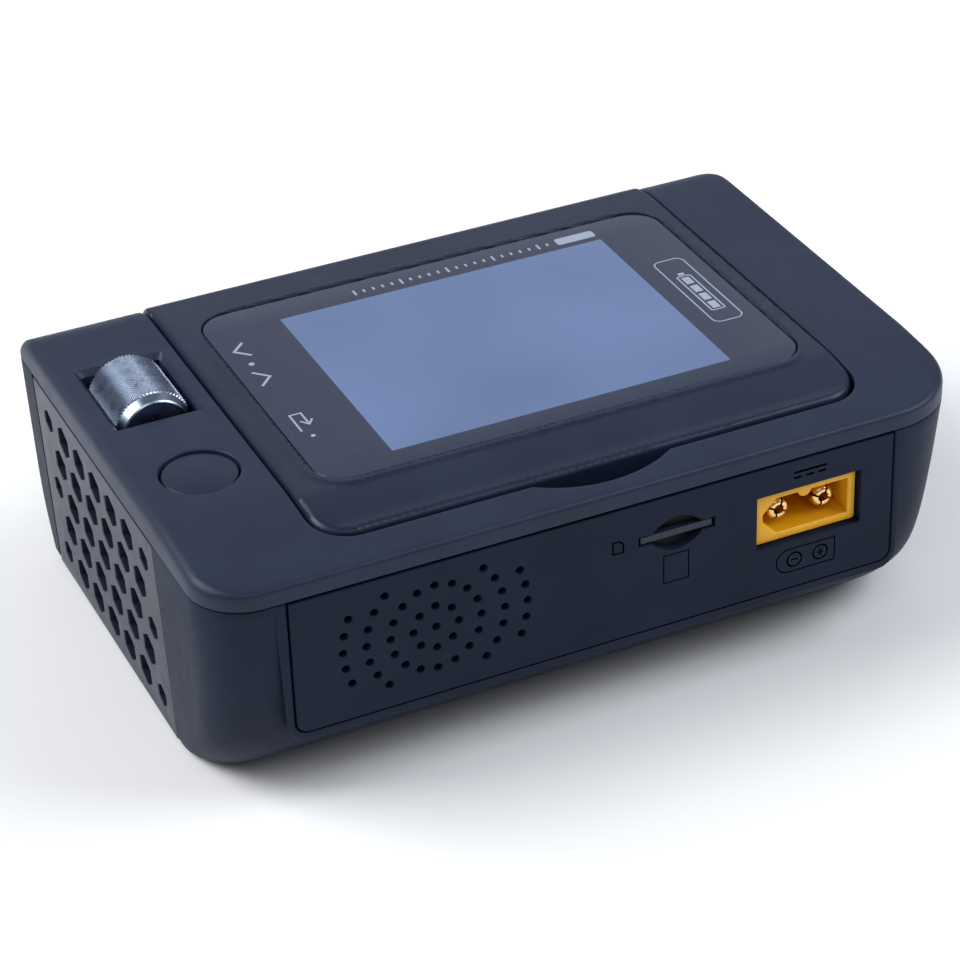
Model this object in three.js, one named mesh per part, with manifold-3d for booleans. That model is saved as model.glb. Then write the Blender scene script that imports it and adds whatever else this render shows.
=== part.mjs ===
// Balance battery charger for model batteries: a tapered two-shell case with a tilting colour screen,
// a knurled scroll wheel that also clicks, a round push button, a DC input side and a battery side.
// Millimetres. +Z is up, -Y is the DC input side, -X is the side with the wheel and the intake grille.
// The origin is at the middle of the four feet, on the surface that they stand on.
import * as THREE from "three";
import { mergeVertices } from "three/addons/utils/BufferGeometryUtils.js";
import Module from "manifold-3d";

const wasm = await Module();
wasm.setup();

// ---------------------------------------------------------------- driving dimensions
const LENGTH = 116;
const WIDTH = 79;
const CASE_X = 1; // the case's middle, measured from the middle of the DC input panel
// Plan radii of the corners: near left, near right, far right, far left.
const CORNERS = [8, 12, 6, 1.5];
const BASE_Z = 0.8; // underside of the case, held up by the feet
const SEAM_Z = 33.8; // where the lid meets the tub
const LID_TOP_Z = 38.3;
const WALL = 2;
const GAP = 0.3; // between pieces that touch on the real object
const HALF_X = LENGTH / 2;
const HALF_Y = WIDTH / 2;

// The tub: how far each side stands in from the plan outline at each height.
const TUB_LEVELS = [
  { z: BASE_Z, near: 12.0, far: 3.0, left: 1.0, right: 2.6 },
  { z: 7, near: 5.0, far: 1.0, left: 0.8, right: 2.1 },
  { z: 12, near: 2.4, far: 0.2, left: 0.66, right: 1.7 },
  { z: 22, near: 0.8, far: 0, left: 0.36, right: 0.9 },
  { z: SEAM_Z, near: 0, far: 0, left: 0, right: 0 },
];

// DC input side: a flat upright frame with a panel let into it.
const FRAME = { halfTop: 47.9, halfBottom: 47, z0: 11, depth: 4.5, r: 3 };
const INPUT_PANEL = { half: 45.8, z0: 12.5, z1: SEAM_Z - GAP, thick: 1.6, r: 1.8 };
const OUTPUT_PANEL = { half: 45.8, z0: 9.5, z1: 27.3, thick: 1.6, r: 1.8 };
const SEAT = 2.3; // width of the ledge behind each panel

// Grilles in the two short sides.
const GRILLE = { y0: -18, y1: 33, thick: 1.8, topGap: 0.3 };
const HEX = { flat: 4.4, small: 3.2, pitch: 6.8, rowStep: 5.8, rows: 5, z: 17, midY: 7.2 };

// Ports.
const XT60 = { x: 32.4, z: 24.6, w: 16, h: 8.1, depth: 16, recess: 1, pinR: 1.75, spacing: 7.2 };
const BATTERY = { x: 26, z: 22.5 };
const BALANCE = { x: -8, z: 21.4, w: 24.9, h: 5.7, depth: 9.8, pins: 9, pitch: 2.5, pin: 0.64 };
const USB = { x: -34, z: 20.2, w: 8.9, h: 3.2, depth: 7.4 };
const CARD = { x: 11.5, z: 27.4, w: 11, l: 15, t: 1 };
const SCOOP = { w: 9.4, h: 5.4, depth: 1.2 };
const SPEAKER = { x: -25, z: 23.4, holeR: 0.6, frameR: 8.2, rings: [3.35, 6.7], fans: [10.2, 13.6] };

// Screen: plate with a round barrel along its far edge, turning about that barrel's axis.
const SCREEN = { x0: -37.8, x1: 45, y0: -32.6, r: 5.5, topZ: 38.8, bottomZ: 32.5 };
const HINGE = { y: 35.3, z: 34.2, r: 3.9, pinR: 1.2 };
const GLASS = { x0: -33.3, x1: 42.1, y0: -22.4, y1: 28.6, r: 5, topZ: 38.6, thick: 1 };
const LCD = { x0: -21.5, x1: 31.3, y0: -18.4, y1: 22.9, z0: 35.3, z1: 37.3 };
const SCREEN_BOARD = { x0: -30, x1: 38, y0: -24, y1: 24, z0: 34.3, t: 0.7 };
const BACK_COVER = { inset: 0.3, y1: 29, r: 5.2, t: 1.1 };
const TRAY = { floorZ: 32.2, thick: 1.2, sideGap: 0.4, nearGap: 0.9 };
const NOTCH = { x: 3, half: 10.5, depth: 3.2, floorZ: 35 };
// The slot in the tray that the display's ribbon comes up through.
const RIBBON = { x0: 5, x1: 15, y: 24, t: 0.2, z: 30.3, slotX0: 4, slotX1: 16, slotY0: 22, slotY1: 26 };

// Controls on the lid.
const WHEEL = { x: -46.8, y: 14, z: 35, r: 5.8, l: 14, shaftR: 0.9, click: 0.5 };
const WINDOW = { w: 13.5, l: 18.4, innerW: 12, innerL: 16.8, bevel: 0.9 };
const BUTTON = { x: -46.8, y: -10.5, r: 5.4, flangeR: 6.1 };

// Boards and what stands on them.
const MAIN_BOARD = { z0: 16.6, t: 1.5, x0: -42, x1: 41, y0: -31.5, y1: 33 };
const LOGIC_BOARD = { z0: 28.9, t: 1.1, x0: -12, x1: 21, y0: -33, y1: 12 };
const KEY_BOARD = { z0: 22.6, t: 1.2, x0: -53, x1: -40.6, y0: -17, y1: 25 };
const HEATSINK = { x0: -18, x1: 30, y0: -18, y1: 26, base: 2.4, fins: 9, finPitch: 5.3, finT: 1.2, z0: 3.4 };
const INDUCTOR = { xs: [-27, -12.5], y: 14, half: 6, h: 7.5, r: 1.5 };
const CAPACITOR = { xs: [6, 15.5], yFar: 18, yNear: -7.7, r: 4, h: 10 };
const FAN = { x0: 43.9, t: 10, size: 25, y: 9, z: 16, hubR: 6, bladeR: 11.2, blades: 7 };
const SCREW = { x: 49.5, yNear: -21.5, yFar: 31, headR: 2.2, shankR: 1.1, tipZ: 12 };
const POST = { r: 2.8, z0: 6.4, bossR: 3.7, bossTop: 6 };
const FOOT = { x: 38, yNear: -15, yFar: 26, r: 4, top: 1.1 };

// ---------------------------------------------------------------- materials
const paint = (color, roughness, metalness = 0) =>
  new THREE.MeshStandardMaterial({ color, roughness, metalness });
const CASE_PLASTIC = paint(0x23293a, 0.55);
const PANEL_PLASTIC = paint(0x1d2130, 0.6);
const SCREEN_PLASTIC = paint(0x2b3348, 0.4);
const DISPLAY_GLASS = paint(0x3d4460, 0.12);
const LCD_FACE = paint(0x6a7aa6, 0.3);
const STEEL = paint(0xb9bcc2, 0.3, 1);
const GOLD = paint(0xd9a441, 0.3, 1);
const AMBER_NYLON = paint(0xf0a81c, 0.45);
const WHITE_NYLON = paint(0xe9e6da, 0.5);
const BLACK_PLASTIC = paint(0x15161a, 0.5);
const RUBBER = paint(0x1b1b1d, 0.9);
const BOARD_GREEN = paint(0x14402a, 0.5);
const ALUMINIUM = paint(0xa8acb1, 0.4, 1);
const FERRITE = paint(0x3a3b3d, 0.7);
const FOIL_SLEEVE = paint(0x24305c, 0.4);
const CONE_PAPER = paint(0x2a2a2c, 0.8);
const RIBBON_FILM = paint(0xb5762a, 0.5);

// ---------------------------------------------------------------- shapes and solids
function toSolid(geometry) {
  const bare = geometry.index ? geometry.toNonIndexed() : geometry.clone();
  bare.deleteAttribute("normal");
  bare.deleteAttribute("uv");
  const merged = mergeVertices(bare, 1e-4);
  const source = merged.index.array;
  const faces = [];
  for (let i = 0; i < source.length; i += 3) {
    const [a, b, c] = source.subarray(i, i + 3);
    if (a !== b && b !== c && a !== c) faces.push(a, b, c);
  }
  const vertProperties = merged.attributes.position.array;
  const triVerts = new Uint32Array(faces);
  return new wasm.Manifold(new wasm.Mesh({ numProp: 3, vertProperties, triVerts }));
}

function toGeometry(solid) {
  const { vertProperties, triVerts } = solid.getMesh();
  const geometry = new THREE.BufferGeometry();
  geometry.setAttribute("position", new THREE.BufferAttribute(vertProperties, 3));
  geometry.setIndex(new THREE.BufferAttribute(triVerts, 1));
  return geometry;
}

const join = (...solids) => solids.reduce((sum, s) => sum.add(s));
const cut = (solid, ...tools) => tools.reduce((rest, t) => rest.subtract(t), solid);

function box(x0, x1, y0, y1, z0, z1) {
  const geometry = new THREE.BoxGeometry(x1 - x0, y1 - y0, z1 - z0);
  return toSolid(geometry.translate((x0 + x1) / 2, (y0 + y1) / 2, (z0 + z1) / 2));
}

// A rounded rectangle; radii are for the corners (x0,y0), (x1,y0), (x1,y1), (x0,y1).
function roundedRect(x0, x1, y0, y1, radii) {
  const [a, b, c, d] = Array.isArray(radii) ? radii : [radii, radii, radii, radii];
  const shape = new THREE.Shape();
  shape.moveTo(x0 + a, y0);
  shape.lineTo(x1 - b, y0);
  if (b) shape.absarc(x1 - b, y0 + b, b, -Math.PI / 2, 0);
  shape.lineTo(x1, y1 - c);
  if (c) shape.absarc(x1 - c, y1 - c, c, 0, Math.PI / 2);
  shape.lineTo(x0 + d, y1);
  if (d) shape.absarc(x0 + d, y1 - d, d, Math.PI / 2, Math.PI);
  shape.lineTo(x0, y0 + a);
  if (a) shape.absarc(x0 + a, y0 + a, a, Math.PI, Math.PI * 1.5);
  return shape;
}

function polygon(points) {
  const shape = new THREE.Shape();
  points.forEach(([u, v], i) => (i ? shape.lineTo(u, v) : shape.moveTo(u, v)));
  return shape;
}

const extrude = (shape, depth, curveSegments) =>
  new THREE.ExtrudeGeometry(shape, { depth, bevelEnabled: false, curveSegments });

// Extrusions along Z of a shape in XY, along Y of a shape in XZ, and along X of a shape in YZ.
const alongZ = (shape, z0, z1, segments = 5) =>
  toSolid(extrude(shape, z1 - z0, segments).translate(0, 0, z0));
const alongY = (shape, y0, y1, segments = 5) =>
  toSolid(extrude(shape, y1 - y0, segments).rotateX(Math.PI / 2).translate(0, y1, 0));
const YZ_TO_X = new THREE.Matrix4().makeBasis(
  new THREE.Vector3(0, 1, 0),
  new THREE.Vector3(0, 0, 1),
  new THREE.Vector3(1, 0, 0),
);
const alongX = (shape, x0, x1, segments = 5) =>
  toSolid(extrude(shape, x1 - x0, segments).applyMatrix4(YZ_TO_X).translate(x0, 0, 0));

// A round rod between two values of one axis, centred on (u, v) of the other two in x, y, z order.
function rod(axis, r, from, to, u, v, segments = 16) {
  const geometry = new THREE.CylinderGeometry(r, r, to - from, segments);
  const middle = (from + to) / 2;
  if (axis === "x") geometry.rotateZ(Math.PI / 2).translate(middle, u, v);
  if (axis === "y") geometry.translate(u, middle, v);
  if (axis === "z") geometry.rotateX(Math.PI / 2).translate(u, v, middle);
  return toSolid(geometry);
}

// A closed skin through rings of equal length, with a flat cap at each end.
function loft(rings) {
  const count = rings[0].length;
  const positions = rings.flat().flatMap((p) => [p.x, p.y, p.z]);
  const faces = [];
  for (let level = 0; level + 1 < rings.length; level++) {
    for (let i = 0; i < count; i++) {
      const a = level * count + i;
      const b = level * count + ((i + 1) % count);
      faces.push(a, b, b + count, a, b + count, a + count);
    }
  }
  const flat = rings[0].map((p) => new THREE.Vector2(p.x, p.y));
  const top = (rings.length - 1) * count;
  for (const [a, b, c] of THREE.ShapeUtils.triangulateShape(flat, [])) {
    faces.push(c, b, a, top + a, top + b, top + c);
  }
  const geometry = new THREE.BufferGeometry();
  geometry.setAttribute("position", new THREE.Float32BufferAttribute(positions, 3));
  geometry.setIndex(faces);
  return toSolid(geometry);
}

// The tub's outer form, or its hollow when inset by a wall: one rounded ring for each level.
function tubForm(inset, zShift, topZ) {
  const radii = CORNERS.map((r) => Math.max(r - inset, 0.5));
  const rings = TUB_LEVELS.map(({ z, near, far, left, right }) => {
    const x0 = CASE_X - HALF_X + left + inset;
    const x1 = CASE_X + HALF_X - right - inset;
    const y0 = -HALF_Y + near + inset;
    const y1 = HALF_Y - far - inset;
    const level = z === SEAM_Z ? topZ : z + zShift;
    const outline = roundedRect(x0, x1, y0, y1, radii).getPoints(6);
    return outline.slice(0, -1).map((p) => new THREE.Vector3(p.x, p.y, level));
  });
  return loft(rings);
}

const group = new THREE.Group();
function add(name, solid, material) {
  const mesh = new THREE.Mesh(toGeometry(solid), material);
  mesh.name = name;
  group.add(mesh);
}

// ---------------------------------------------------------------- case
const outerTub = tubForm(0, 0, SEAM_Z);
const corners = [
  [-1, SCREW.yNear, FOOT.yNear],
  [1, SCREW.yNear, FOOT.yNear],
  [-1, SCREW.yFar, FOOT.yFar],
  [1, SCREW.yFar, FOOT.yFar],
].map(([s, y, footY]) => ({ x: CASE_X + s * SCREW.x, y, footX: CASE_X + s * FOOT.x, footY }));

function frameOutline() {
  const { halfTop, halfBottom, z0, r } = FRAME;
  const shape = new THREE.Shape();
  shape.moveTo(-halfBottom + r, z0);
  shape.lineTo(halfBottom - r, z0);
  shape.absarc(halfBottom - r, z0 + r, r, -Math.PI / 2, 0);
  shape.lineTo(halfTop, SEAM_Z);
  shape.lineTo(-halfTop, SEAM_Z);
  shape.lineTo(-halfBottom, z0 + r);
  shape.absarc(-halfBottom + r, z0 + r, r, Math.PI, Math.PI * 1.5);
  return shape;
}

// A panel's outline in XZ, grown by a clearance; its top corners are square.
function panelOutline({ half, z0, z1, r }, grow, topZ = z1 + grow) {
  return roundedRect(-half - grow, half + grow, z0 - grow, topZ, [r, r, 0, 0]);
}

// The inner face of an end's grille, measured from the case's middle: behind the tapered wall's foot.
const ventFloor = (s) => HALF_X - GRILLE.thick - (s < 0 ? 0.5 : 1.3);

// A shell with a thick upright block at each long side, which each panel is let into.
function lowerCase() {
  const far = HALF_Y - OUTPUT_PANEL.thick - GAP;
  const near = -HALF_Y + INPUT_PANEL.thick + GAP;
  const inputHalf = INPUT_PANEL.half - SEAT;
  const outputHalf = OUTPUT_PANEL.half - SEAT;
  const farBlock = box(-FRAME.halfTop, FRAME.halfTop, HALF_Y - FRAME.depth, HALF_Y, 8, SEAM_Z - 3);
  let body = join(
    cut(outerTub, tubForm(WALL, WALL, SEAM_Z + 1)),
    alongY(frameOutline(), -HALF_Y, -HALF_Y + FRAME.depth),
    farBlock.intersect(outerTub),
  );
  body = cut(
    body,
    alongY(panelOutline(INPUT_PANEL, GAP, SEAM_Z + 1), -HALF_Y - 1, near),
    box(-inputHalf, inputHalf, -HALF_Y, -30, INPUT_PANEL.z0 + SEAT, SEAM_Z + 1),
    alongY(panelOutline(OUTPUT_PANEL, GAP), far, HALF_Y + 1),
    box(-outputHalf, outputHalf, 30, HALF_Y, OUTPUT_PANEL.z0 + SEAT, OUTPUT_PANEL.z1 - 0.4),
    box(SCREEN.x0 - 2.1, SCREEN.x1 + 2.1, 30, HALF_Y + 1, OUTPUT_PANEL.z1 + GAP, SEAM_Z + 1),
  );
  for (const s of [-1, 1]) {
    const depth = ventFloor(s) - GAP;
    const [a, b] = [CASE_X + s * depth, CASE_X + s * (HALF_X + 1)].sort((p, q) => p - q);
    const [c, d] = [CASE_X + s * (depth - 6), CASE_X + s * (depth + 1)].sort((p, q) => p - q);
    body = cut(
      body,
      box(a, b, GRILLE.y0 - GAP, GRILLE.y1 + GAP, BASE_Z - 1, SEAM_Z + 1),
      box(c, d, GRILLE.y0 + SEAT, GRILLE.y1 - SEAT, BASE_Z + WALL + 1, SEAM_Z + 1),
    );
  }
  for (const { x, y, footX, footY } of corners) {
    body = join(body, rod("z", POST.bossR, BASE_Z + 1, POST.bossTop, x, y, 12));
    body = cut(
      body,
      rod("z", SCREW.headR + 0.4, BASE_Z - 1, BASE_Z + 2.2, x, y, 12),
      rod("z", SCREW.shankR + 0.4, BASE_Z, POST.bossTop + 1, x, y, 10),
      rod("z", FOOT.r + GAP, BASE_Z - 1, FOOT.top + GAP, footX, footY, 16),
    );
  }
  return body;
}

// The lid's side profile in YZ: upright band, gentle slope to the flat top, rolled far edge.
function lidProfile(inset, bottomZ) {
  const crease = SEAM_Z + 2.3 - inset;
  const top = LID_TOP_Z - inset;
  const roll = 4 - inset / 2;
  const shape = new THREE.Shape();
  shape.moveTo(-HALF_Y + inset, bottomZ);
  shape.lineTo(HALF_Y - inset, bottomZ);
  shape.lineTo(HALF_Y - inset, top - roll);
  shape.absarc(HALF_Y - inset - roll, top - roll, roll, 0, Math.PI / 2);
  shape.lineTo(-HALF_Y + 18, top);
  shape.lineTo(-HALF_Y + inset, crease);
  return shape;
}

function lidBlock(inset, bottomZ) {
  const x0 = CASE_X - HALF_X + inset;
  const x1 = CASE_X + HALF_X - inset;
  const y = HALF_Y - inset;
  const radii = CORNERS.map((r) => Math.max(r - inset, 0.5));
  const plan = roundedRect(x0, x1, -y, y, radii);
  return alongX(lidProfile(inset, bottomZ), x0, x1).intersect(alongZ(plan, bottomZ, 50, 6));
}

function trayPocket() {
  const { x0, x1, y0, r } = SCREEN;
  const { floorZ, sideGap, nearGap } = TRAY;
  const radius = r + sideGap;
  const plan = roundedRect(x0 - sideGap, x1 + sideGap, y0 - nearGap, 60, [radius, radius, 0, 0]);
  return join(
    alongZ(plan, floorZ, 50),
    rod("x", HINGE.r + sideGap, x0 - GAP, x1 + GAP, HINGE.y, HINGE.z, 24),
  );
}

function fingerNotch() {
  const edge = SCREEN.y0 - TRAY.nearGap;
  const shape = new THREE.Shape();
  shape.moveTo(NOTCH.x - NOTCH.half, edge + 0.5);
  shape.quadraticCurveTo(NOTCH.x, edge - 2 * NOTCH.depth, NOTCH.x + NOTCH.half, edge + 0.5);
  return alongZ(shape, NOTCH.floorZ, 50, 8);
}

function windowCut() {
  const { x, y } = WHEEL;
  const { w, l, innerW, innerL, bevel } = WINDOW;
  const ring = (width, length, z) =>
    [
      [-1, -1],
      [1, -1],
      [1, 1],
      [-1, 1],
    ].map(([a, b]) => new THREE.Vector3(x + (a * width) / 2, y + (b * length) / 2, z));
  return join(
    loft([ring(innerW, innerL, LID_TOP_Z - bevel), ring(w, l, LID_TOP_Z), ring(w, l, 50)]),
    box(x - innerW / 2, x + innerW / 2, y - innerL / 2, y + innerL / 2, SEAM_Z, 40),
  );
}

function topLid() {
  const side = TRAY.sideGap + TRAY.thick;
  const x0 = SCREEN.x0 - side;
  const x1 = SCREEN.x1 + side;
  const trayBottom = TRAY.floorZ - TRAY.thick;
  let body = cut(lidBlock(0, SEAM_Z + 0.15), lidBlock(WALL, SEAM_Z - 1));
  body = join(
    body,
    box(x0, x1, SCREEN.y0 - TRAY.nearGap - 1, HINGE.y, trayBottom, SEAM_Z + 2),
    box(x0, x1, HINGE.y - HINGE.r - 1.6, HALF_Y, OUTPUT_PANEL.z1 + 2 * GAP, SEAM_Z + 2),
  );
  body = cut(
    body,
    trayPocket(),
    box(SCREEN.x0, SCREEN.x1, HINGE.y + 2, HALF_Y + 1, 30.4, HINGE.z),
    fingerNotch(),
    windowCut(),
    rod("z", BUTTON.r + GAP, SEAM_Z, 50, BUTTON.x, BUTTON.y, 32),
    box(RIBBON.slotX0, RIBBON.slotX1, RIBBON.slotY0, RIBBON.slotY1, trayBottom - 1, TRAY.floorZ + 1),
  );
  for (const { x, y } of corners) {
    body = join(body, rod("z", POST.r, POST.z0, LID_TOP_Z - WALL + 0.4, x, y, 12));
    body = cut(body, rod("z", SCREW.shankR + GAP, POST.z0 - 1, SCREW.tipZ + 1, x, y, 10));
  }
  return cut(
    body,
    rod("x", HINGE.pinR + GAP, x0 - 3.6, x0 + 3, HINGE.y, HINGE.z),
    rod("x", HINGE.pinR + GAP, x1 - 3, x1 + 3.6, HINGE.y, HINGE.z),
  );
}

// ---------------------------------------------------------------- panels
// The round holes over the speaker: whole inner rings, and two fans of holes outside them.
function speakerHoles() {
  const holes = [[0, 0]];
  const ring = (radius, count, step, start) => {
    for (let i = 0; i < count; i++) {
      const angle = THREE.MathUtils.degToRad(start + i * step);
      holes.push([radius * Math.cos(angle), radius * Math.sin(angle)]);
    }
  };
  const { rings, fans } = SPEAKER;
  ring(rings[0], 8, 45, 0);
  ring(rings[1], 16, 22.5, 0);
  for (const facing of [0, 180]) {
    ring(fans[0], 7, 15, facing - 45);
    ring(fans[1], 5, 11.25, facing - 22.5);
  }
  return holes;
}

function lens(x, z, w, h) {
  const shape = new THREE.Shape();
  shape.moveTo(x - w / 2, z);
  shape.quadraticCurveTo(x, z - h, x + w / 2, z);
  shape.quadraticCurveTo(x, z + h, x - w / 2, z);
  return shape;
}

function inputPanel() {
  const front = -HALF_Y;
  const back = front + INPUT_PANEL.thick;
  const opening = (x, z, w, h) =>
    box(x - w / 2 - GAP, x + w / 2 + GAP, front - 1, back + 1, z - h / 2 - GAP, z + h / 2 + GAP);
  let body = alongY(panelOutline(INPUT_PANEL, 0), front, back);
  body = cut(
    body,
    opening(XT60.x, XT60.z, XT60.w, XT60.h),
    opening(CARD.x, CARD.z, CARD.w + GAP, CARD.t),
    alongY(lens(CARD.x, CARD.z, SCOOP.w, SCOOP.h), front - 1, front + SCOOP.depth, 6),
  );
  for (const [dx, dz] of speakerHoles()) {
    const hole = rod("y", SPEAKER.holeR, front - 1, back + 1, SPEAKER.x + dx, SPEAKER.z + dz, 6);
    body = cut(body, hole);
  }
  return body;
}

function outputPanel() {
  const front = HALF_Y;
  const back = front - OUTPUT_PANEL.thick;
  const opening = (x, z, w, h) =>
    box(x - w / 2 - GAP, x + w / 2 + GAP, back - 1, front + 1, z - h / 2 - GAP, z + h / 2 + GAP);
  return cut(
    alongY(panelOutline(OUTPUT_PANEL, 0), back, front).intersect(outerTub),
    opening(BATTERY.x, BATTERY.z, XT60.w, XT60.h),
    opening(BALANCE.x, BALANCE.z, BALANCE.w, BALANCE.h),
    opening(USB.x, USB.z, USB.w, USB.h),
  );
}

function ventPanel(side) {
  const outer = CASE_X + side * (HALF_X + 1);
  const inner = CASE_X + side * ventFloor(side);
  const [x0, x1] = [inner, outer].sort((a, b) => a - b);
  const plate = box(x0, x1, GRILLE.y0, GRILLE.y1, BASE_Z - 1, SEAM_Z - GRILLE.topGap);
  let body = outerTub.intersect(plate);
  for (let row = 0; row < HEX.rows; row++) {
    const count = row % 2 ? 6 : 7;
    const z = HEX.z + (row - (HEX.rows - 1) / 2) * HEX.rowStep;
    for (let i = 0; i < count; i++) {
      const y = HEX.midY + (i - (count - 1) / 2) * HEX.pitch;
      const end = count === 7 && (i === 0 || i === count - 1);
      const r = (end ? HEX.small : HEX.flat) / Math.sqrt(3);
      const points = [];
      for (let k = 0; k < 6; k++) {
        const angle = Math.PI / 6 + (k * Math.PI) / 3;
        points.push([y + r * Math.cos(angle), z + r * Math.sin(angle)]);
      }
      body = cut(body, alongX(polygon(points), x0 - 1, x1 + 1));
    }
  }
  return body;
}

add("lower_case", lowerCase(), CASE_PLASTIC);
add("top_lid", topLid(), CASE_PLASTIC);
add("input_panel", inputPanel(), PANEL_PLASTIC);
add("output_panel", outputPanel(), PANEL_PLASTIC);
add("left_vent_panel", ventPanel(-1), PANEL_PLASTIC);
add("right_vent_panel", ventPanel(1), PANEL_PLASTIC);

corners.forEach(({ x, y, footX, footY }, i) => {
  const head = rod("z", SCREW.headR, BASE_Z + 0.5, BASE_Z + 1.9, x, y, 12);
  const shank = rod("z", SCREW.shankR, BASE_Z + 1.5, SCREW.tipZ, x, y, 10);
  const socket = rod("z", 0.9, BASE_Z, BASE_Z + 1.2, x, y, 6);
  add(`case_screw_${i + 1}`, cut(join(head, shank), socket), STEEL);
  add(`rubber_foot_${i + 1}`, rod("z", FOOT.r, 0, FOOT.top, footX, footY, 16), RUBBER);
});

// ---------------------------------------------------------------- DC input, card and speaker
// A two-pole connector shell: a plain block whose mouth, open towards dir along Y, has two corners cut.
function connectorShell(x, z, mouthY, dir) {
  const { w, h, depth } = XT60;
  const wall = 1.2;
  const chamfer = 2.2;
  const [x0, x1] = [x - w / 2 + wall, x + w / 2 - wall];
  const [z0, z1] = [z - h / 2 + wall, z + h / 2 - wall];
  const mouth = polygon([
    [x0 + chamfer, z0],
    [x1, z0],
    [x1, z1],
    [x0 + chamfer, z1],
    [x0, z1 - chamfer],
    [x0, z0 + chamfer],
  ]);
  const span = (from, to) => [mouthY - dir * from, mouthY - dir * to].sort((a, b) => a - b);
  const body = box(x - w / 2, x + w / 2, ...span(0, depth), z - h / 2, z + h / 2);
  const cavity = alongY(mouth, ...span(-1, 9));
  const bores = [-1, 1].map((s) =>
    rod("y", XT60.pinR + GAP, ...span(8, depth + 1), x + (s * XT60.spacing) / 2, z, 12),
  );
  return cut(body, cavity, ...bores);
}

function bullet(x, z, mouthY, dir) {
  const span = (from, to) => [mouthY - dir * from, mouthY - dir * to].sort((a, b) => a - b);
  const pin = rod("y", XT60.pinR, ...span(1.2, XT60.depth + 1.5), x, z, 14);
  const slots = [
    box(x - 0.2, x + 0.2, ...span(0, 5), z - 3, z + 3),
    box(x - 3, x + 3, ...span(0, 5), z - 0.2, z + 0.2),
  ];
  const bore = rod("y", 0.7, ...span(0, 5), x, z, 8);
  return cut(pin, bore, ...slots);
}

function addConnector(prefix, x, z, mouthY, dir) {
  add(`${prefix}_connector_shell`, connectorShell(x, z, mouthY, dir), AMBER_NYLON);
  for (const [word, s] of [["minus", -1], ["plus", 1]]) {
    const pin = bullet(x + (s * XT60.spacing) / 2, z, mouthY, dir);
    add(`${prefix}_pin_${word}`, pin, GOLD);
  }
}

addConnector("input", XT60.x, XT60.z, -HALF_Y + XT60.recess, -1);
addConnector("battery", BATTERY.x, BATTERY.z, HALF_Y - XT60.recess, 1);

function cardSocket() {
  const { x, z } = CARD;
  return cut(
    box(x - 7, x + 7, -36.6, -23.4, z - 1.15, z + 1.15),
    box(x - 5.8, x + 5.8, -37, -24.2 + GAP + 0.2, z - 0.8, z + 0.8),
  );
}

// The card's far end is stepped on one side, as a micro card's is.
function memoryCard() {
  const { x, z, w, l, t } = CARD;
  const front = -HALF_Y + 0.3;
  const outline = polygon([
    [x - w / 2, front],
    [x + w / 2, front],
    [x + w / 2, front + l],
    [x - w / 2 + 1.4, front + l],
    [x - w / 2 + 1.4, front + l - 6],
    [x - w / 2, front + l - 7.4],
  ]);
  return alongZ(outline, z - t / 2, z + t / 2);
}

function speakerFrame() {
  const { x, z, frameR } = SPEAKER;
  const y = -HALF_Y + INPUT_PANEL.thick + GAP;
  return cut(
    join(rod("y", frameR, y, y + 2.2, x, z, 24), rod("y", frameR - 3.4, y + 1, y + 5.4, x, z, 20)),
    rod("y", frameR - 1, y - 1, y + 1.7, x, z, 24),
  );
}

function speakerCone() {
  const { x, z, frameR } = SPEAKER;
  const y = -HALF_Y + INPUT_PANEL.thick + GAP;
  const profile = [
    [0, 0.35],
    [1.6, 0.5],
    [2.4, 1.0],
    [frameR - 1.3, 0.7],
    [frameR - 1.3, 1.4],
    [0, 1.4],
  ].map(([r, depth]) => new THREE.Vector2(r, depth));
  return toSolid(new THREE.LatheGeometry(profile, 20).translate(x, y, z));
}

add("card_socket", cardSocket(), STEEL);
add("memory_card", memoryCard(), BLACK_PLASTIC);
add("speaker_frame", speakerFrame(), STEEL);
add("speaker_cone", speakerCone(), CONE_PAPER);

// ---------------------------------------------------------------- battery side
function balanceHeader() {
  const { x, z, w, h, depth } = BALANCE;
  const mouth = HALF_Y - 0.6;
  return cut(
    box(x - w / 2, x + w / 2, mouth - depth, mouth, z - h / 2, z + h / 2),
    box(x - w / 2 + 1, x + w / 2 - 1, mouth - 7, mouth + 1, z - h / 2 + 0.9, z + h / 2 - 0.9),
    box(x - w / 2 + 3, x - w / 2 + 5, mouth - 5, mouth + 1, z + h / 2 - 2, z + h / 2 + 1),
    box(x + w / 2 - 5, x + w / 2 - 3, mouth - 5, mouth + 1, z + h / 2 - 2, z + h / 2 + 1),
    box(x - w / 2 + 1.4, x + w / 2 - 1.4, mouth - depth - 1, mouth - 6, z - 0.7, z + 0.7),
  );
}

// Nine square pins, joined by the carrier strip that they are pressed into.
function balancePins() {
  const { x, z, w, depth, pins, pitch, pin } = BALANCE;
  const mouth = HALF_Y - 0.6;
  const back = mouth - depth;
  let comb = box(x - w / 2 + 1.8, x + w / 2 - 1.8, back + 0.3, back + 2.2, z - 0.4, z + 0.4);
  for (let i = 0; i < pins; i++) {
    const cx = x + (i - (pins - 1) / 2) * pitch;
    comb = join(comb, box(cx - pin / 2, cx + pin / 2, back - 1.5, mouth - 1, z - pin / 2, z + pin / 2));
  }
  return comb;
}

function usbShell() {
  const { x, z, w, h, depth } = USB;
  const front = HALF_Y - 0.5;
  const ring = (inset) =>
    roundedRect(x - w / 2 + inset, x + w / 2 - inset, z - h / 2 + inset, z + h / 2 - inset, h / 2 - inset);
  return cut(
    alongY(ring(0), front - depth, front, 6),
    alongY(ring(0.35), front - depth + 1, front + 1, 6),
  );
}

function usbTongue() {
  const { x, z, depth } = USB;
  const front = HALF_Y - 0.5;
  return box(x - 3.3, x + 3.3, front - depth + 1.3, front - 0.9, z - 0.35, z + 0.35);
}

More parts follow.
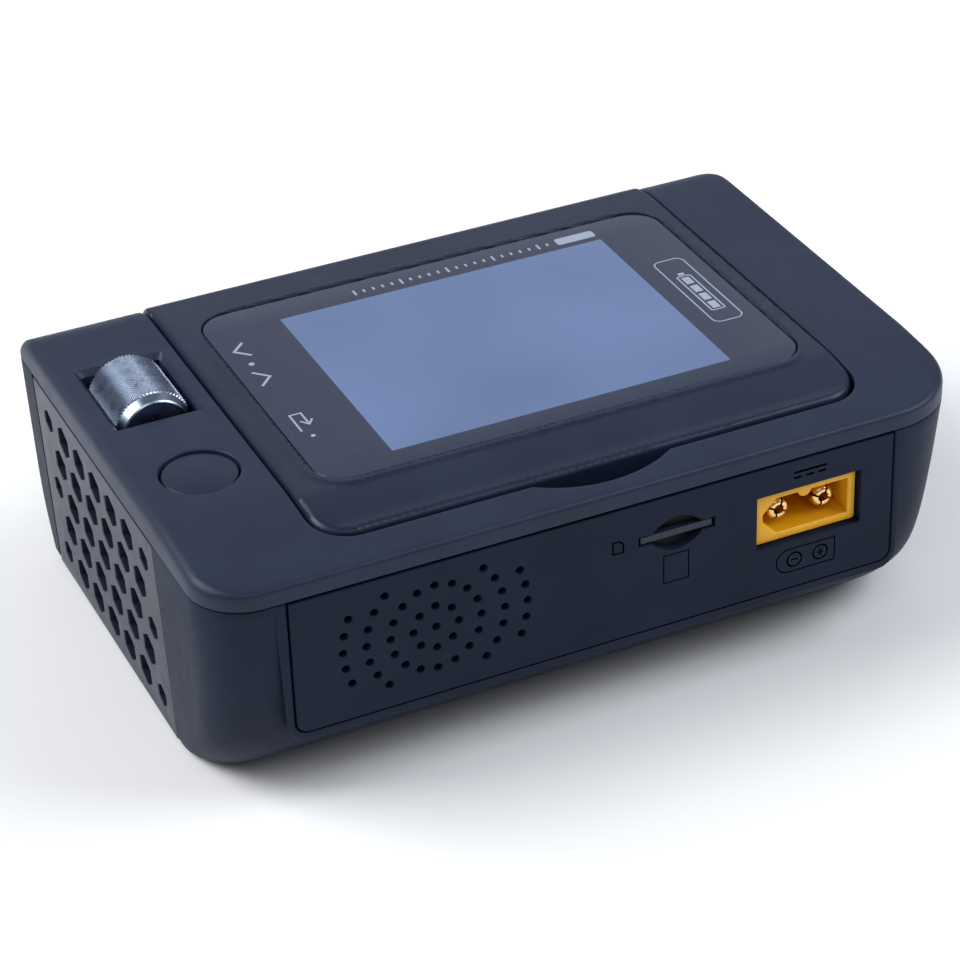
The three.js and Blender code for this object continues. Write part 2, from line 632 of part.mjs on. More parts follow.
add("balance_header", balanceHeader(), WHITE_NYLON);
add("balance_pin_comb", balancePins(), GOLD);
add("usb_shell", usbShell(), STEEL);
add("usb_tongue", usbTongue(), BLACK_PLASTIC);

// ---------------------------------------------------------------- boards and power parts
const boardSlab = ({ x0, x1, y0, y1, z0, t }) => box(x0, x1, y0, y1, z0, z0 + t);

// The bullets' tails reach past the connector shells, above the board.
add("main_board", boardSlab(MAIN_BOARD), BOARD_GREEN);
add("logic_board", boardSlab(LOGIC_BOARD), BOARD_GREEN);

function heatsink() {
  const { x0, x1, y0, y1, base, fins, finPitch, finT, z0 } = HEATSINK;
  const top = MAIN_BOARD.z0 - GAP;
  let body = box(x0, x1, y0, y1, top - base, top);
  for (let i = 0; i < fins; i++) {
    const y = y0 + 0.4 + i * finPitch;
    body = join(body, box(x0, x1, y, y + finT, z0, top - base + 0.4));
  }
  return body;
}
add("heatsink", heatsink(), ALUMINIUM);

// What stands on the main board keeps a clearance to it.
const onBoard = MAIN_BOARD.z0 + MAIN_BOARD.t + GAP;

INDUCTOR.xs.forEach((x, i) => {
  const { y, half, h, r } = INDUCTOR;
  const body = alongZ(roundedRect(x - half, x + half, y - half, y + half, r), onBoard, onBoard + h, 3);
  add(`inductor_${i + 1}`, body, FERRITE);
});

CAPACITOR.xs.forEach((x, i) => {
  const { yFar, yNear, r, h } = CAPACITOR;
  add(`capacitor_${i + 1}`, rod("z", r, onBoard, onBoard + h, x, yFar), FOIL_SLEEVE);
  add(`capacitor_${i + 3}`, rod("z", r, onBoard, onBoard + h, x, yNear), FOIL_SLEEVE);
});

// ---------------------------------------------------------------- fan
function fanFrame() {
  const { x0, t, size, y, z, bladeR, hubR } = FAN;
  const plate = roundedRect(y - size / 2, y + size / 2, z - size / 2, z + size / 2, 1.5);
  const body = cut(
    alongX(plate, x0, x0 + t, 2),
    rod("x", bladeR + 0.5, x0 - 1, x0 + t - 1.2, y, z, 24),
    rod("x", bladeR + 0.5, x0 + t - 1.3, x0 + t + 1, y, z, 24),
  );
  const spokes = [
    box(x0 + t - 1.4, x0 + t, y - 0.8, y + 0.8, z - bladeR - 0.8, z + bladeR + 0.8),
    box(x0 + t - 1.4, x0 + t, y - bladeR - 0.8, y + bladeR + 0.8, z - 0.8, z + 0.8),
    rod("x", hubR - 0.5, x0 + t - 1.4, x0 + t, y, z, 16),
  ];
  return join(body, ...spokes);
}

// Each blade is a thin slab twisted about its own radial line.
function fanRotor() {
  const { x0, t, y, z, hubR, bladeR, blades } = FAN;
  let body = rod("x", hubR, x0 + 0.6, x0 + t - 1.9, y, z, 20);
  for (let i = 0; i < blades; i++) {
    const blade = new THREE.BoxGeometry(0.8, 4.6, bladeR - hubR + 0.8);
    blade.rotateZ(Math.PI / 5);
    blade.translate(0, 0, (bladeR + hubR) / 2 - 0.6);
    blade.rotateX((i * 2 * Math.PI) / blades);
    blade.translate(x0 + t / 2 - 0.7, y, z);
    body = join(body, toSolid(blade));
  }
  return body;
}

add("fan_frame", fanFrame(), BLACK_PLASTIC);
add("fan_rotor", fanRotor(), BLACK_PLASTIC);

// ---------------------------------------------------------------- scroll wheel and push button
function wheelRoller() {
  const { x, y, z, r, l, shaftR } = WHEEL;
  const profile = [
    [shaftR + GAP, -l / 2],
    [r - 0.9, -l / 2],
    [r, -l / 2 + 1.8],
    [r, l / 2 - 0.8],
    [r - 0.8, l / 2],
    [shaftR + GAP, l / 2],
    [shaftR + GAP, -l / 2],
  ].map(([radius, along]) => new THREE.Vector2(radius, along));
  return toSolid(new THREE.LatheGeometry(profile, 28).translate(x, y, z));
}

function wheelCarrier() {
  const { x, y, z, l, shaftR } = WHEEL;
  const arm = l / 2 + 0.5;
  const base = z - WHEEL.r - 2.6;
  const cheek = (y0) => box(x - 3.2, x + 3.2, y0, y0 + 1.4, base, z + 1);
  return cut(
    join(
      box(x - 4.5, x + 4.5, y - arm - 1.4, y + arm + 1.4, base, base + 1.4),
      cheek(y - arm - 1.4),
      cheek(y + arm),
    ),
    rod("y", shaftR + GAP, y - arm - 2, y + arm + 2, x, z, 14),
  );
}

add("wheel_roller", wheelRoller(), STEEL);
add("wheel_shaft", rod("y", WHEEL.shaftR, WHEEL.y - 9.2, WHEEL.y + 9.6, WHEEL.x, WHEEL.z, 12), STEEL);
add("wheel_carrier", wheelCarrier(), BLACK_PLASTIC);

function wheelEncoder() {
  const { x, y, z } = WHEEL;
  return cut(
    box(x - 3.6, x + 3.6, y + 9.2, y + 12.6, z - 4.6, z + 0.9),
    rod("y", WHEEL.shaftR + GAP, y + 8, y + 9.6 + GAP, x, z, 12),
  );
}

function tactSwitch(x, y, bodyTop, plungerTop, plungerR) {
  const bottom = KEY_BOARD.z0 + KEY_BOARD.t + GAP;
  return join(
    box(x - 3, x + 3, y - 3, y + 3, bottom, bodyTop),
    rod("z", plungerR, bodyTop - 0.5, plungerTop, x, y, 12),
  );
}

add("wheel_encoder", wheelEncoder(), BLACK_PLASTIC);
add("wheel_click_switch", tactSwitch(WHEEL.x, WHEEL.y, 25.3, 25.9, 1.4), BLACK_PLASTIC);
add("key_board", boardSlab(KEY_BOARD), BOARD_GREEN);

function pushButton() {
  const { x, y, r, flangeR } = BUTTON;
  return join(
    rod("z", r, 35.4, LID_TOP_Z + 0.1, x, y, 32),
    rod("z", flangeR, 34.5, 35.8, x, y, 24),
    rod("z", 2, 29, 35, x, y, 12),
  );
}

add("exit_button", pushButton(), SCREEN_PLASTIC);
add("exit_switch", tactSwitch(BUTTON.x, BUTTON.y, 27.5, 28.1, 1.7), BLACK_PLASTIC);

// ---------------------------------------------------------------- tilting screen
function screenBezel() {
  const { x0, x1, y0, r, topZ, bottomZ } = SCREEN;
  const base = bottomZ + 1.4;
  const side = new THREE.Shape();
  side.moveTo(y0, base);
  side.lineTo(HINGE.y, base);
  side.lineTo(HINGE.y, HINGE.z + HINGE.r - 0.1);
  side.lineTo(GLASS.y1 + 1.2, topZ);
  side.lineTo(y0 + 3.2, topZ);
  side.absellipse(y0 + 3.2, topZ - 1.8, 3.2, 1.8, Math.PI / 2, Math.PI, false);
  const plan = alongZ(roundedRect(x0, x1, y0, HINGE.y, [r, r, 0, 0]), base, topZ + 1);
  const barrel = rod("x", HINGE.r, x0, x1, HINGE.y, HINGE.z, 32);
  const seat = GLASS.topZ - GLASS.thick - GAP;
  return cut(
    join(alongX(side, x0, x1).intersect(plan), barrel),
    alongZ(roundedRect(GLASS.x0, GLASS.x1, GLASS.y0, GLASS.y1, GLASS.r), seat, topZ + 1),
    box(LCD.x0 - 2.5, LCD.x1 + 2.5, LCD.y0 - 2.3, LCD.y1 + 2.1, base, topZ),
    box(x0 + 2, x1 - 2, y0 + 3, HINGE.y - HINGE.r - 1.5, base - 1, seat - 0.9),
    rod("x", HINGE.pinR + GAP, x0 - 1, x0 + 5.5, HINGE.y, HINGE.z),
    rod("x", HINGE.pinR + GAP, x1 - 5.5, x1 + 1, HINGE.y, HINGE.z),
  );
}

function screenGlass() {
  const { x0, x1, y0, y1, r, topZ, thick } = GLASS;
  const g = 0.2;
  return alongZ(roundedRect(x0 + g, x1 - g, y0 + g, y1 - g, r - g), topZ - thick, topZ);
}

add("screen_bezel", screenBezel(), SCREEN_PLASTIC);
add("screen_glass", screenGlass(), DISPLAY_GLASS);
add("lcd_panel", box(LCD.x0 - 2, LCD.x1 + 2, LCD.y0 - 1.8, LCD.y1 + 1.6, LCD.z0, LCD.z1), LCD_FACE);
add("screen_board", boardSlab(SCREEN_BOARD), BOARD_GREEN);

function screenBackCover() {
  const { inset, y1, r, t } = BACK_COVER;
  const { x0, x1, y0, bottomZ } = SCREEN;
  const { slotX0, slotX1, slotY0, slotY1 } = RIBBON;
  const plan = roundedRect(x0 + inset, x1 - inset, y0 + inset, y1, [r, r, 0, 0]);
  return cut(
    alongZ(plan, bottomZ, bottomZ + t),
    box(slotX0 + 0.4, slotX1 - 0.4, slotY0 + 0.4, slotY1 - 0.4, bottomZ - 1, bottomZ + t + 1),
  );
}
add("screen_back_cover", screenBackCover(), CASE_PLASTIC);

// Hinge pins, fixed in the lid and running in the barrel's ends.
[
  ["left", SCREEN.x0 - 5, SCREEN.x0 + 5],
  ["right", SCREEN.x1 - 5, SCREEN.x1 + 5],
].forEach(([side, from, to]) => {
  add(`hinge_pin_${side}`, rod("x", HINGE.pinR, from, to, HINGE.y, HINGE.z, 12), STEEL);
});

// The display's flat ribbon: from the logic board up through the slot in the tray.
function displayRibbon() {
  const { x0, x1, y, t, z } = RIBBON;
  const top = SCREEN.bottomZ - GAP;
  const path = polygon([
    [8, z],
    [y + t, z],
    [y + t, top],
    [y, top],
    [y, z + t],
    [8, z + t],
  ]);
  return alongX(path, x0, x1);
}
add("display_ribbon", displayRibbon(), RIBBON_FILM);

// Everything above is measured from the middle of the DC input panel; the origin is under the case's middle.
group.position.x = -CASE_X;

export default group;
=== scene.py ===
"""Balance battery charger: the visual model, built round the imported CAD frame.

Shapes are worked out in millimetres in the row frame and scaled to metres when a piece is finished.
"""
import math

import bmesh
import bpy
from mathutils import Matrix, Vector
from mathutils.geometry import delaunay_2d_cdt


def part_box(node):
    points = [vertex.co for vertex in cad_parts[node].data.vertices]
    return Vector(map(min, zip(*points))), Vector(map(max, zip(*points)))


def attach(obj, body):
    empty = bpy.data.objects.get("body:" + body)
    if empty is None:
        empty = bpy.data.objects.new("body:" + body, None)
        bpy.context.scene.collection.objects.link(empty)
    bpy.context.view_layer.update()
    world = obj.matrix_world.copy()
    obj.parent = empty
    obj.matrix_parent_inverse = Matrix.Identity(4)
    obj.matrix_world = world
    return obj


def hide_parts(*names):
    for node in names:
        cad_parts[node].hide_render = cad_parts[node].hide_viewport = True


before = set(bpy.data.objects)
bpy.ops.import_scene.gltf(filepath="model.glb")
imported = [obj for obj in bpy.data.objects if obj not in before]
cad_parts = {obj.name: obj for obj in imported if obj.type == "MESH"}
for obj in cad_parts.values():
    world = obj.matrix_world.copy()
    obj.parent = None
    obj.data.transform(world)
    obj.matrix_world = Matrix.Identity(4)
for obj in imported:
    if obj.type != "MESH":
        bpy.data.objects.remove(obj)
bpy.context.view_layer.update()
MM = 0.001


def cad(node):
    """A CAD node's box in millimetres: x0, x1, y0, y1, z0, z1."""
    low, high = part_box(node)
    return [value / MM for pair in zip(low, high) for value in pair]


# ------------------------------------------------------------------ driving dimensions, mm
TUB = cad("lower_case")
LID = cad("top_lid")
BEZEL = cad("screen_bezel")
GLASS = cad("screen_glass")
LCD = cad("lcd_panel")
ROLLER = cad("wheel_roller")
BUTTON = cad("exit_button")
INPUT_PANEL = cad("input_panel")
OUTPUT_PANEL = cad("output_panel")
INPUT_SHELL = cad("input_connector_shell")
BACK_COVER = cad("screen_back_cover")
VENTS = {-1: cad("left_vent_panel"), 1: cad("right_vent_panel")}
HALF_X = TUB[1]
HALF_Y = TUB[3]
BASE_Z = TUB[4]
SEAM_Z = TUB[5]
LID_TOP = LID[5]
DATUM_X = (INPUT_PANEL[0] + INPUT_PANEL[1]) / 2  # the middle of the DC side
GAP = 0.3
CORNERS = [8, 12, 6, 1.5]  # plan radii: near left, near right, far right, far left
LID_GAP = 0.22
EDGE_R = {"near": 0.7, "far": 0.6, "left": 1.8, "right": 1.5}
FAR_ROLL = {"reach": 8.0, "drop": 3.7}
BAND_TOP = SEAM_Z + 2.75  # where the near slope of the lid starts
SLOPE_START_Y = -19
SLOPE_POWER = 1.45
LID_SKIN = 2.0
BARREL_R = 3.9
BARREL_Y = BEZEL[3] - BARREL_R
BARREL_Z = BEZEL[4] + BARREL_R
POCKET = {"side": 0.4, "near": 0.9, "corner": 5.9, "fillet": 0.35}
NOTCH = {"x": DATUM_X + 3, "half": 10.5, "depth": 3.0, "floor": SEAM_Z + 0.25}
WINDOW = {"x": 12.0, "y": 16.8, "bevel_x": 0.75, "bevel_y": 0.8, "drop": 0.9}
BUTTON_R = 5.4
BUTTON_GAP = 0.28
BUTTON_FILLET = 0.25  # rounding of the lid round the button
POST = {"r": 2.8, "z0": 6.4, "bore": 1.4, "tip": 13}  # the lid's screw posts
HINGE_BORE = 1.5
RIBBON_SLOT = (DATUM_X + 4, DATUM_X + 16, 22, 26)


# ------------------------------------------------------------------ mesh helpers
def finish_piece(obj, body, material, slot, *nodes):
    """Scales a piece from millimetres to metres, gives it its material and hangs it on its body."""
    obj.data.transform(Matrix.Scale(MM, 4))
    obj.data.materials.clear()
    obj.data.materials.append(material)
    for polygon in obj.data.polygons:
        polygon.material_index = 0
    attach(obj, body)
    if nodes:
        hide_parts(*nodes)
    return obj


def object_from(name, verts, faces, smooth_deg=35):
    mesh = bpy.data.meshes.new(name)
    mesh.from_pydata([tuple(v) for v in verts], [], faces)
    obj = bpy.data.objects.new(name, mesh)
    bpy.context.scene.collection.objects.link(obj)
    tidy_mesh(obj, smooth_deg)
    return obj


def tidy_mesh(obj, smooth_deg=35):
    """Welds, faces outwards, and shades smooth with sharp edges kept."""
    weld = 1e-4
    bm = bmesh.new()
    bm.from_mesh(obj.data)
    bmesh.ops.remove_doubles(bm, verts=bm.verts, dist=weld)
    bmesh.ops.dissolve_degenerate(bm, edges=bm.edges, dist=weld)
    bmesh.ops.recalc_face_normals(bm, faces=bm.faces)
    for face in bm.faces:
        face.smooth = True
    for edge in bm.edges:
        if edge.is_manifold and edge.calc_face_angle(0) > math.radians(smooth_deg):
            edge.smooth = False
    bm.to_mesh(obj.data)
    bm.free()
    obj.data.update()


def evaluated(obj):
    """Applies an object's modifiers to its mesh."""
    graph = bpy.context.evaluated_depsgraph_get()
    mesh = bpy.data.meshes.new_from_object(obj.evaluated_get(graph))
    obj.modifiers.clear()
    obj.data = mesh
    return obj


def boolean(obj, tools, operation="DIFFERENCE"):
    """Cuts or joins closed solids; the tools are used up."""
    for tool in tools:
        modifier = obj.modifiers.new("bool", "BOOLEAN")
        modifier.operation = operation
        modifier.solver = "MANIFOLD"
        modifier.object = tool
        evaluated(obj)
        bpy.data.objects.remove(tool)
    return obj


def flatten(obj, degrees=0.4):
    """Joins coplanar faces."""
    bm = bmesh.new()
    bm.from_mesh(obj.data)
    bmesh.ops.dissolve_limit(
        bm, angle_limit=math.radians(degrees), verts=bm.verts, edges=bm.edges
    )
    bm.to_mesh(obj.data)
    bm.free()
    return obj


def rounded_rect(x0, x1, y0, y1, radii, steps=8, spacing=None):
    """Points of a rounded rectangle, counter-clockwise from its lowest left arc; spacing fills the sides."""
    if not isinstance(radii, (list, tuple)):
        radii = [radii] * 4
    centres = [
        (x0 + radii[0], y0 + radii[0]),
        (x1 - radii[1], y0 + radii[1]),
        (x1 - radii[2], y1 - radii[2]),
        (x0 + radii[3], y1 - radii[3]),
    ]
    points = []
    for corner, (cx, cy) in enumerate(centres):
        radius = radii[corner]
        count = steps if radius > 0 else 0
        for k in range(count + 1):
            angle = math.pi + corner * math.pi / 2 + (k / max(count, 1)) * math.pi / 2
            points.append((cx + radius * math.cos(angle), cy + radius * math.sin(angle)))
    return fill_sides(points, spacing) if spacing else points


def fill_sides(points, spacing, closed=True):
    """Adds evenly spaced points along every stretch longer than the spacing."""
    filled = []
    count = len(points)
    for i in range(count if closed else count - 1):
        (ax, ay), (bx, by) = points[i], points[(i + 1) % count]
        pieces = max(1, math.ceil(math.hypot(bx - ax, by - ay) / spacing))
        for k in range(pieces):
            t = k / pieces
            filled.append((ax + (bx - ax) * t, ay + (by - ay) * t))
    if not closed:
        filled.append(points[-1])
    return filled


def circle(x, y, r, count=48):
    angles = [2 * math.pi * k / count for k in range(count)]
    return [(x + r * math.cos(a), y + r * math.sin(a)) for a in angles]


def corner_radius(radii, x, y):
    """The radius of the corner on the side that (x, y) points to."""
    if y > 0:
        return radii[2] if x > 0 else radii[3]
    return radii[1] if x > 0 else radii[0]


def rect_distance(x, y, x0, x1, y0, y1, r):
    """Distance outside a rounded rectangle, of one radius or four; negative inside."""
    if isinstance(r, (list, tuple)):
        r = corner_radius(r, x - (x0 + x1) / 2, y - (y0 + y1) / 2)
    qx = abs(x - (x0 + x1) / 2) - (x1 - x0) / 2 + r
    qy = abs(y - (y0 + y1) / 2) - (y1 - y0) / 2 + r
    return math.hypot(max(qx, 0), max(qy, 0)) + min(max(qx, qy), 0) - r


def fillet_drop(distance, radius):
    """How far a round edge lies below its face at a distance inside that edge."""
    if distance >= radius:
        return 0.0
    reach = radius - max(distance, 0.0)
    return radius - math.sqrt(max(radius * radius - reach * reach, 0.0))


def offset_loop(loop, distance):
    """Points of a closed loop moved to its left by a distance, one for one."""
    count = len(loop)
    moved = []
    for i, (x, y) in enumerate(loop):
        ax, ay = loop[i - 1]
        bx, by = loop[(i + 1) % count]
        dx, dy = bx - ax, by - ay
        length = math.hypot(dx, dy) or 1
        moved.append((x - dy / length * distance, y + dx / length * distance))
    return moved


def inside(x, y, loop):
    """True if a point is inside a closed loop."""
    hit = False
    for (ax, ay), (bx, by) in zip(loop, loop[1:] + loop[:1]):
        if (ay > y) != (by > y) and x < (bx - ax) * (y - ay) / (by - ay) + ax:
            hit = not hit
    return hit


def domain_mesh(outer, holes, extra):
    """Triangles over a flat region: boundary loops, plus loose points inside it."""
    points = []
    edges = []
    for loop in [outer, *holes]:
        start = len(points)
        points += [Vector(p) for p in loop]
        edges += [(start + i, start + (i + 1) % len(loop)) for i in range(len(loop))]
    points += [Vector(p) for p in extra]
    verts, _, triangles, _, _, _ = delaunay_2d_cdt(points, edges, [], 0, 1e-5)
    kept = []
    for tri in triangles:
        x = sum(verts[i].x for i in tri) / 3
        y = sum(verts[i].y for i in tri) / 3
        if inside(x, y, outer) and not any(inside(x, y, hole) for hole in holes):
            kept.append(tuple(tri))
    return [(v.x, v.y) for v in verts], kept


def shell_between(name, outer, holes, extra, top, bottom, smooth_deg=35):
    """A closed plate over a flat region, between two height functions of x and y."""
    flat, triangles = domain_mesh(outer, holes, extra)
    used = sorted({i for tri in triangles for i in tri})
    index = {old: new for new, old in enumerate(used)}
    count = len(used)
    verts = [(*flat[i], top(*flat[i])) for i in used]
    verts += [(*flat[i], bottom(*flat[i])) for i in used]
    faces = []
    directed = set()
    for tri in triangles:
        a, b, c = (index[i] for i in tri)
        faces.append((a, b, c))
        faces.append((c + count, b + count, a + count))
        directed |= {(a, b), (b, c), (c, a)}
    for a, b in directed:
        if (b, a) not in directed:
            faces.append((b, a, a + count, b + count))
    return object_from(name, verts, faces, smooth_deg)


# Where a loop's point (u, v) at level w stands, for each axis that a solid can run along.
PLACE = {
    "z": lambda u, v, w: (u, v, w),
    "y": lambda u, v, w: (u, w, v),
    "x": lambda u, v, w: (w, u, v),
}


def extruded(name, loop, low, high, axis="z", smooth_deg=35):
    """A prism of a closed loop along an axis. A loop for y is in x and z; a loop for x is in y and z."""
    place = PLACE[axis]
    count = len(loop)
    verts = [place(u, v, w) for w in (low, high) for u, v in loop]
    faces = [tuple(range(count))[::-1], tuple(range(count, 2 * count))]
    for i in range(count):
        j = (i + 1) % count
        faces.append((i, j, j + count, i + count))
    return object_from(name, verts, faces, smooth_deg)


def block(name, x0, x1, y0, y1, z0, z1):
    return extruded(name, [(x0, y0), (x1, y0), (x1, y1), (x0, y1)], z0, z1)


def plate(name, outline, holes, thick, edge_r, steps=2):
    """A flat plate in x and y with rounded edges, centred on z = 0, from outline loops."""
    curve = bpy.data.curves.new(name, "CURVE")
    curve.dimensions = "2D"
    curve.fill_mode = "BOTH"
    curve.extrude = thick / 2 - edge_r
    curve.bevel_depth = edge_r
    curve.bevel_resolution = steps
    curve.offset = -edge_r
    for loop in [outline, *holes]:
        spline = curve.splines.new("POLY")
        spline.points.add(len(loop) - 1)
        for point, (u, v) in zip(spline.points, loop):
            point.co = (u, v, 0, 1)
        spline.use_cyclic_u = True
    shape = bpy.data.objects.new(name, curve)
    bpy.context.scene.collection.objects.link(shape)
    graph = bpy.context.evaluated_depsgraph_get()
    mesh = bpy.data.meshes.new_from_object(shape.evaluated_get(graph))
    bpy.data.objects.remove(shape)
    obj = bpy.data.objects.new(name, mesh)
    bpy.context.scene.collection.objects.link(obj)
    tidy_mesh(obj)
    return obj


def lathe(name, profile, axis, centre, segments=64, smooth_deg=35):
    """A turned solid from (radius, along) points, bottom to top, closed on its axis or on itself."""
    verts = []
    for k in range(segments):
        angle = 2 * math.pi * k / segments
        for radius, along in profile:
            u, v = radius * math.cos(angle), radius * math.sin(angle)
            spot = {"x": (along, u, v), "y": (v, along, u), "z": (u, v, along)}[axis]
            verts.append(tuple(c + s for c, s in zip(centre, spot)))
    count = len(profile)
    faces = []
    for k in range(segments):
        n = (k + 1) % segments
        for i in range(count):
            j = (i + 1) % count
            if max(profile[i][0], profile[j][0]) > 0:
                faces.append((k * count + i, n * count + i, n * count + j, k * count + j))
    return object_from(name, verts, faces, smooth_deg)


def lofted(name, loops, levels, axis="z", smooth_deg=35):
    """A closed solid through loops of equal length, one at each level of an axis."""
    place = PLACE[axis]
    count = len(loops[0])
    verts = [place(u, v, w) for loop, w in zip(loops, levels) for u, v in loop]
    top = (len(loops) - 1) * count
    faces = [tuple(range(count))[::-1], tuple(range(top, top + count))]
    for level in range(len(loops) - 1):
        base = level * count
        for i in range(count):
            j = (i + 1) % count
            faces.append((base + i, base + j, base + j + count, base + i + count))
    return object_from(name, verts, faces, smooth_deg)


def stroke(points, width, closed=False):
    """The outline of a pen line: one loop for an open line, two for a closed one."""
    count = len(points)
    sides = ([], [])
    for i, (x, y) in enumerate(points):
        ax, ay = points[i - 1] if closed or i else points[i]
        bx, by = points[(i + 1) % count] if closed or i + 1 < count else points[i]
        directions = []
        for dx, dy in ((x - ax, y - ay), (bx - x, by - y)):
            length = math.hypot(dx, dy)
            if length > 0:
                directions.append((dx / length, dy / length))
        tx = sum(dx for dx, _ in directions)
        ty = sum(dy for _, dy in directions)
        length = math.hypot(tx, ty)
        nx, ny = -ty / length, tx / length
        dx, dy = directions[0]
        spread = width / 2 / max(abs(ny * dx - nx * dy), 0.4)
        sides[0].append((x + nx * spread, y + ny * spread))
        sides[1].append((x - nx * spread, y - ny * spread))
    return sides


def ink(name, marks, low, high, axis="z"):
    """Thin raised marks: filled loops, and pen lines given as (points, width, closed)."""
    bm = bmesh.new()
    place = PLACE[axis]

    def prism(quads, loops):
        """One mark: a filled loop (quads None), or the band between two loops, open or closed."""
        rings = []
        for w in (low, high):
            rings.append([[bm.verts.new(place(u, v, w)) for u, v in loop] for loop in loops])
        for loop, (below, above) in zip(loops, zip(*rings)):
            for i in range(len(loop)):
                j = (i + 1) % len(loop)
                if quads != "open" or i + 1 < len(loop):
                    bm.faces.new((below[i], below[j], above[j], above[i]))
        if quads is None:
            for side in rings:
                bm.faces.new(side[0])
            return
        count = len(loops[0])
        last = count if quads == "closed" else count - 1
        for side in rings:
            for i in range(last):
                j = (i + 1) % count
                bm.faces.new((side[0][i], side[0][j], side[1][j], side[1][i]))
        if quads == "open":
            for i in (0, count - 1):
                bm.faces.new((rings[0][0][i], rings[0][1][i], rings[1][1][i], rings[1][0][i]))

    for mark in marks:
        if isinstance(mark, tuple):
            points, width, closed = mark
            prism("closed" if closed else "open", stroke(points, width, closed))
        else:
            prism(None, [mark])
    bmesh.ops.recalc_face_normals(bm, faces=bm.faces)
    mesh = bpy.data.meshes.new(name)
    bm.to_mesh(mesh)
    bm.free()
    obj = bpy.data.objects.new(name, mesh)
    bpy.context.scene.collection.objects.link(obj)
    return obj


def bar(x0, x1, y0, y1):
    return [(x0, y0), (x1, y0), (x1, y1), (x0, y1)]


# ------------------------------------------------------------------ materials
def node_material(name, colour, roughness, metallic=0.0):
    """A new material with its shader and its object coordinates."""
    material = bpy.data.materials.new(name)
    material.use_nodes = True
    shader = material.node_tree.nodes["Principled BSDF"]
    shader.inputs["Base Color"].default_value = (*colour, 1)
    shader.inputs["Roughness"].default_value = roughness
    shader.inputs["Metallic"].default_value = metallic
    coordinates = material.node_tree.nodes.new("ShaderNodeTexCoord")
    return material, shader, coordinates


def noise(material, coordinates, size_mm, detail=2.0, roughness=0.5):
    """A noise texture whose grains are about one size."""
    node = material.node_tree.nodes.new("ShaderNodeTexNoise")
    node.inputs["Scale"].default_value = 1 / (size_mm * MM)
    node.inputs["Detail"].default_value = detail
    node.inputs["Roughness"].default_value = roughness
    material.node_tree.links.new(coordinates.outputs["Object"], node.inputs["Vector"])
    return node


def ramp(material, source, low, high):
    """Remaps a 0..1 value to low..high over its useful middle."""
    node = material.node_tree.nodes.new("ShaderNodeMapRange")
    node.inputs["From Min"].default_value = 0.3
    node.inputs["From Max"].default_value = 0.7
    node.inputs["To Min"].default_value = low
    node.inputs["To Max"].default_value = high
    material.node_tree.links.new(source, node.inputs["Value"])
    return node.outputs["Result"]


def tint(material, shader, source, dark, light):
    """Colour that varies between two shades with a 0..1 value."""
    node = material.node_tree.nodes.new("ShaderNodeMix")
    node.data_type = "RGBA"
    node.inputs["A"].default_value = (*dark, 1)
    node.inputs["B"].default_value = (*light, 1)
    material.node_tree.links.new(source, node.inputs["Factor"])
    material.node_tree.links.new(node.outputs["Result"], shader.inputs["Base Color"])


def bump(material, shader, source, height_mm, strength=1.0, previous=None):
    node = material.node_tree.nodes.new("ShaderNodeBump")
    node.inputs["Strength"].default_value = strength
    node.inputs["Distance"].default_value = height_mm * MM
    material.node_tree.links.new(source, node.inputs["Height"])
    if previous:
        material.node_tree.links.new(previous.outputs["Normal"], node.inputs["Normal"])
    material.node_tree.links.new(node.outputs["Normal"], shader.inputs["Normal"])
    return node


def scaled(colour, factor):
    return tuple(channel * factor for channel in colour)


def plastic(name, colour, roughness, grain_mm, grain_height, specular=0.5, mottle=0.12):
    """Moulded plastic: fine grain, slow colour drift and uneven gloss."""
    material, shader, coordinates = node_material(name, colour, roughness)
    shader.inputs["Specular IOR Level"].default_value = specular
    grain = noise(material, coordinates, grain_mm, 3.0, 0.6)
    bump(material, shader, grain.outputs["Fac"], grain_height)
    drift = noise(material, coordinates, 14.0, 2.0)
    shade = ramp(material, drift.outputs["Fac"], 0.0, 1.0)
    tint(material, shader, shade, scaled(colour, 1 - mottle), scaled(colour, 1 + mottle))
    gloss = noise(material, coordinates, 3.0, 4.0, 0.6)
    level = ramp(material, gloss.outputs["Fac"], roughness - 0.035, roughness + 0.035)
    material.node_tree.links.new(level, shader.inputs["Roughness"])
    return material


def metal(name, colour, roughness, brush_mm=0.12, brush_height=0.002, stretch=(1, 1, 1)):
    """Drawn or turned metal: fine lines along one axis and slightly uneven polish."""
    material, shader, coordinates = node_material(name, colour, roughness, 1.0)
    mapping = material.node_tree.nodes.new("ShaderNodeMapping")
    mapping.inputs["Scale"].default_value = stretch
    material.node_tree.links.new(coordinates.outputs["Object"], mapping.inputs["Vector"])
    lines = material.node_tree.nodes.new("ShaderNodeTexNoise")
    lines.inputs["Scale"].default_value = 1 / (brush_mm * MM)
    lines.inputs["Detail"].default_value = 2
    material.node_tree.links.new(mapping.outputs["Vector"], lines.inputs["Vector"])
    bump(material, shader, lines.outputs["Fac"], brush_height, 0.7)
    patches = noise(material, coordinates, 1.6, 3.0)
    level = ramp(material, patches.outputs["Fac"], roughness * 0.8, roughness * 1.25)
    material.node_tree.links.new(level, shader.inputs["Roughness"])
    drift = noise(material, coordinates, 2.5, 2.0)
    shade = ramp(material, drift.outputs["Fac"], 0.0, 1.0)
    tint(material, shader, shade, scaled(colour, 0.92), colour)
    return material


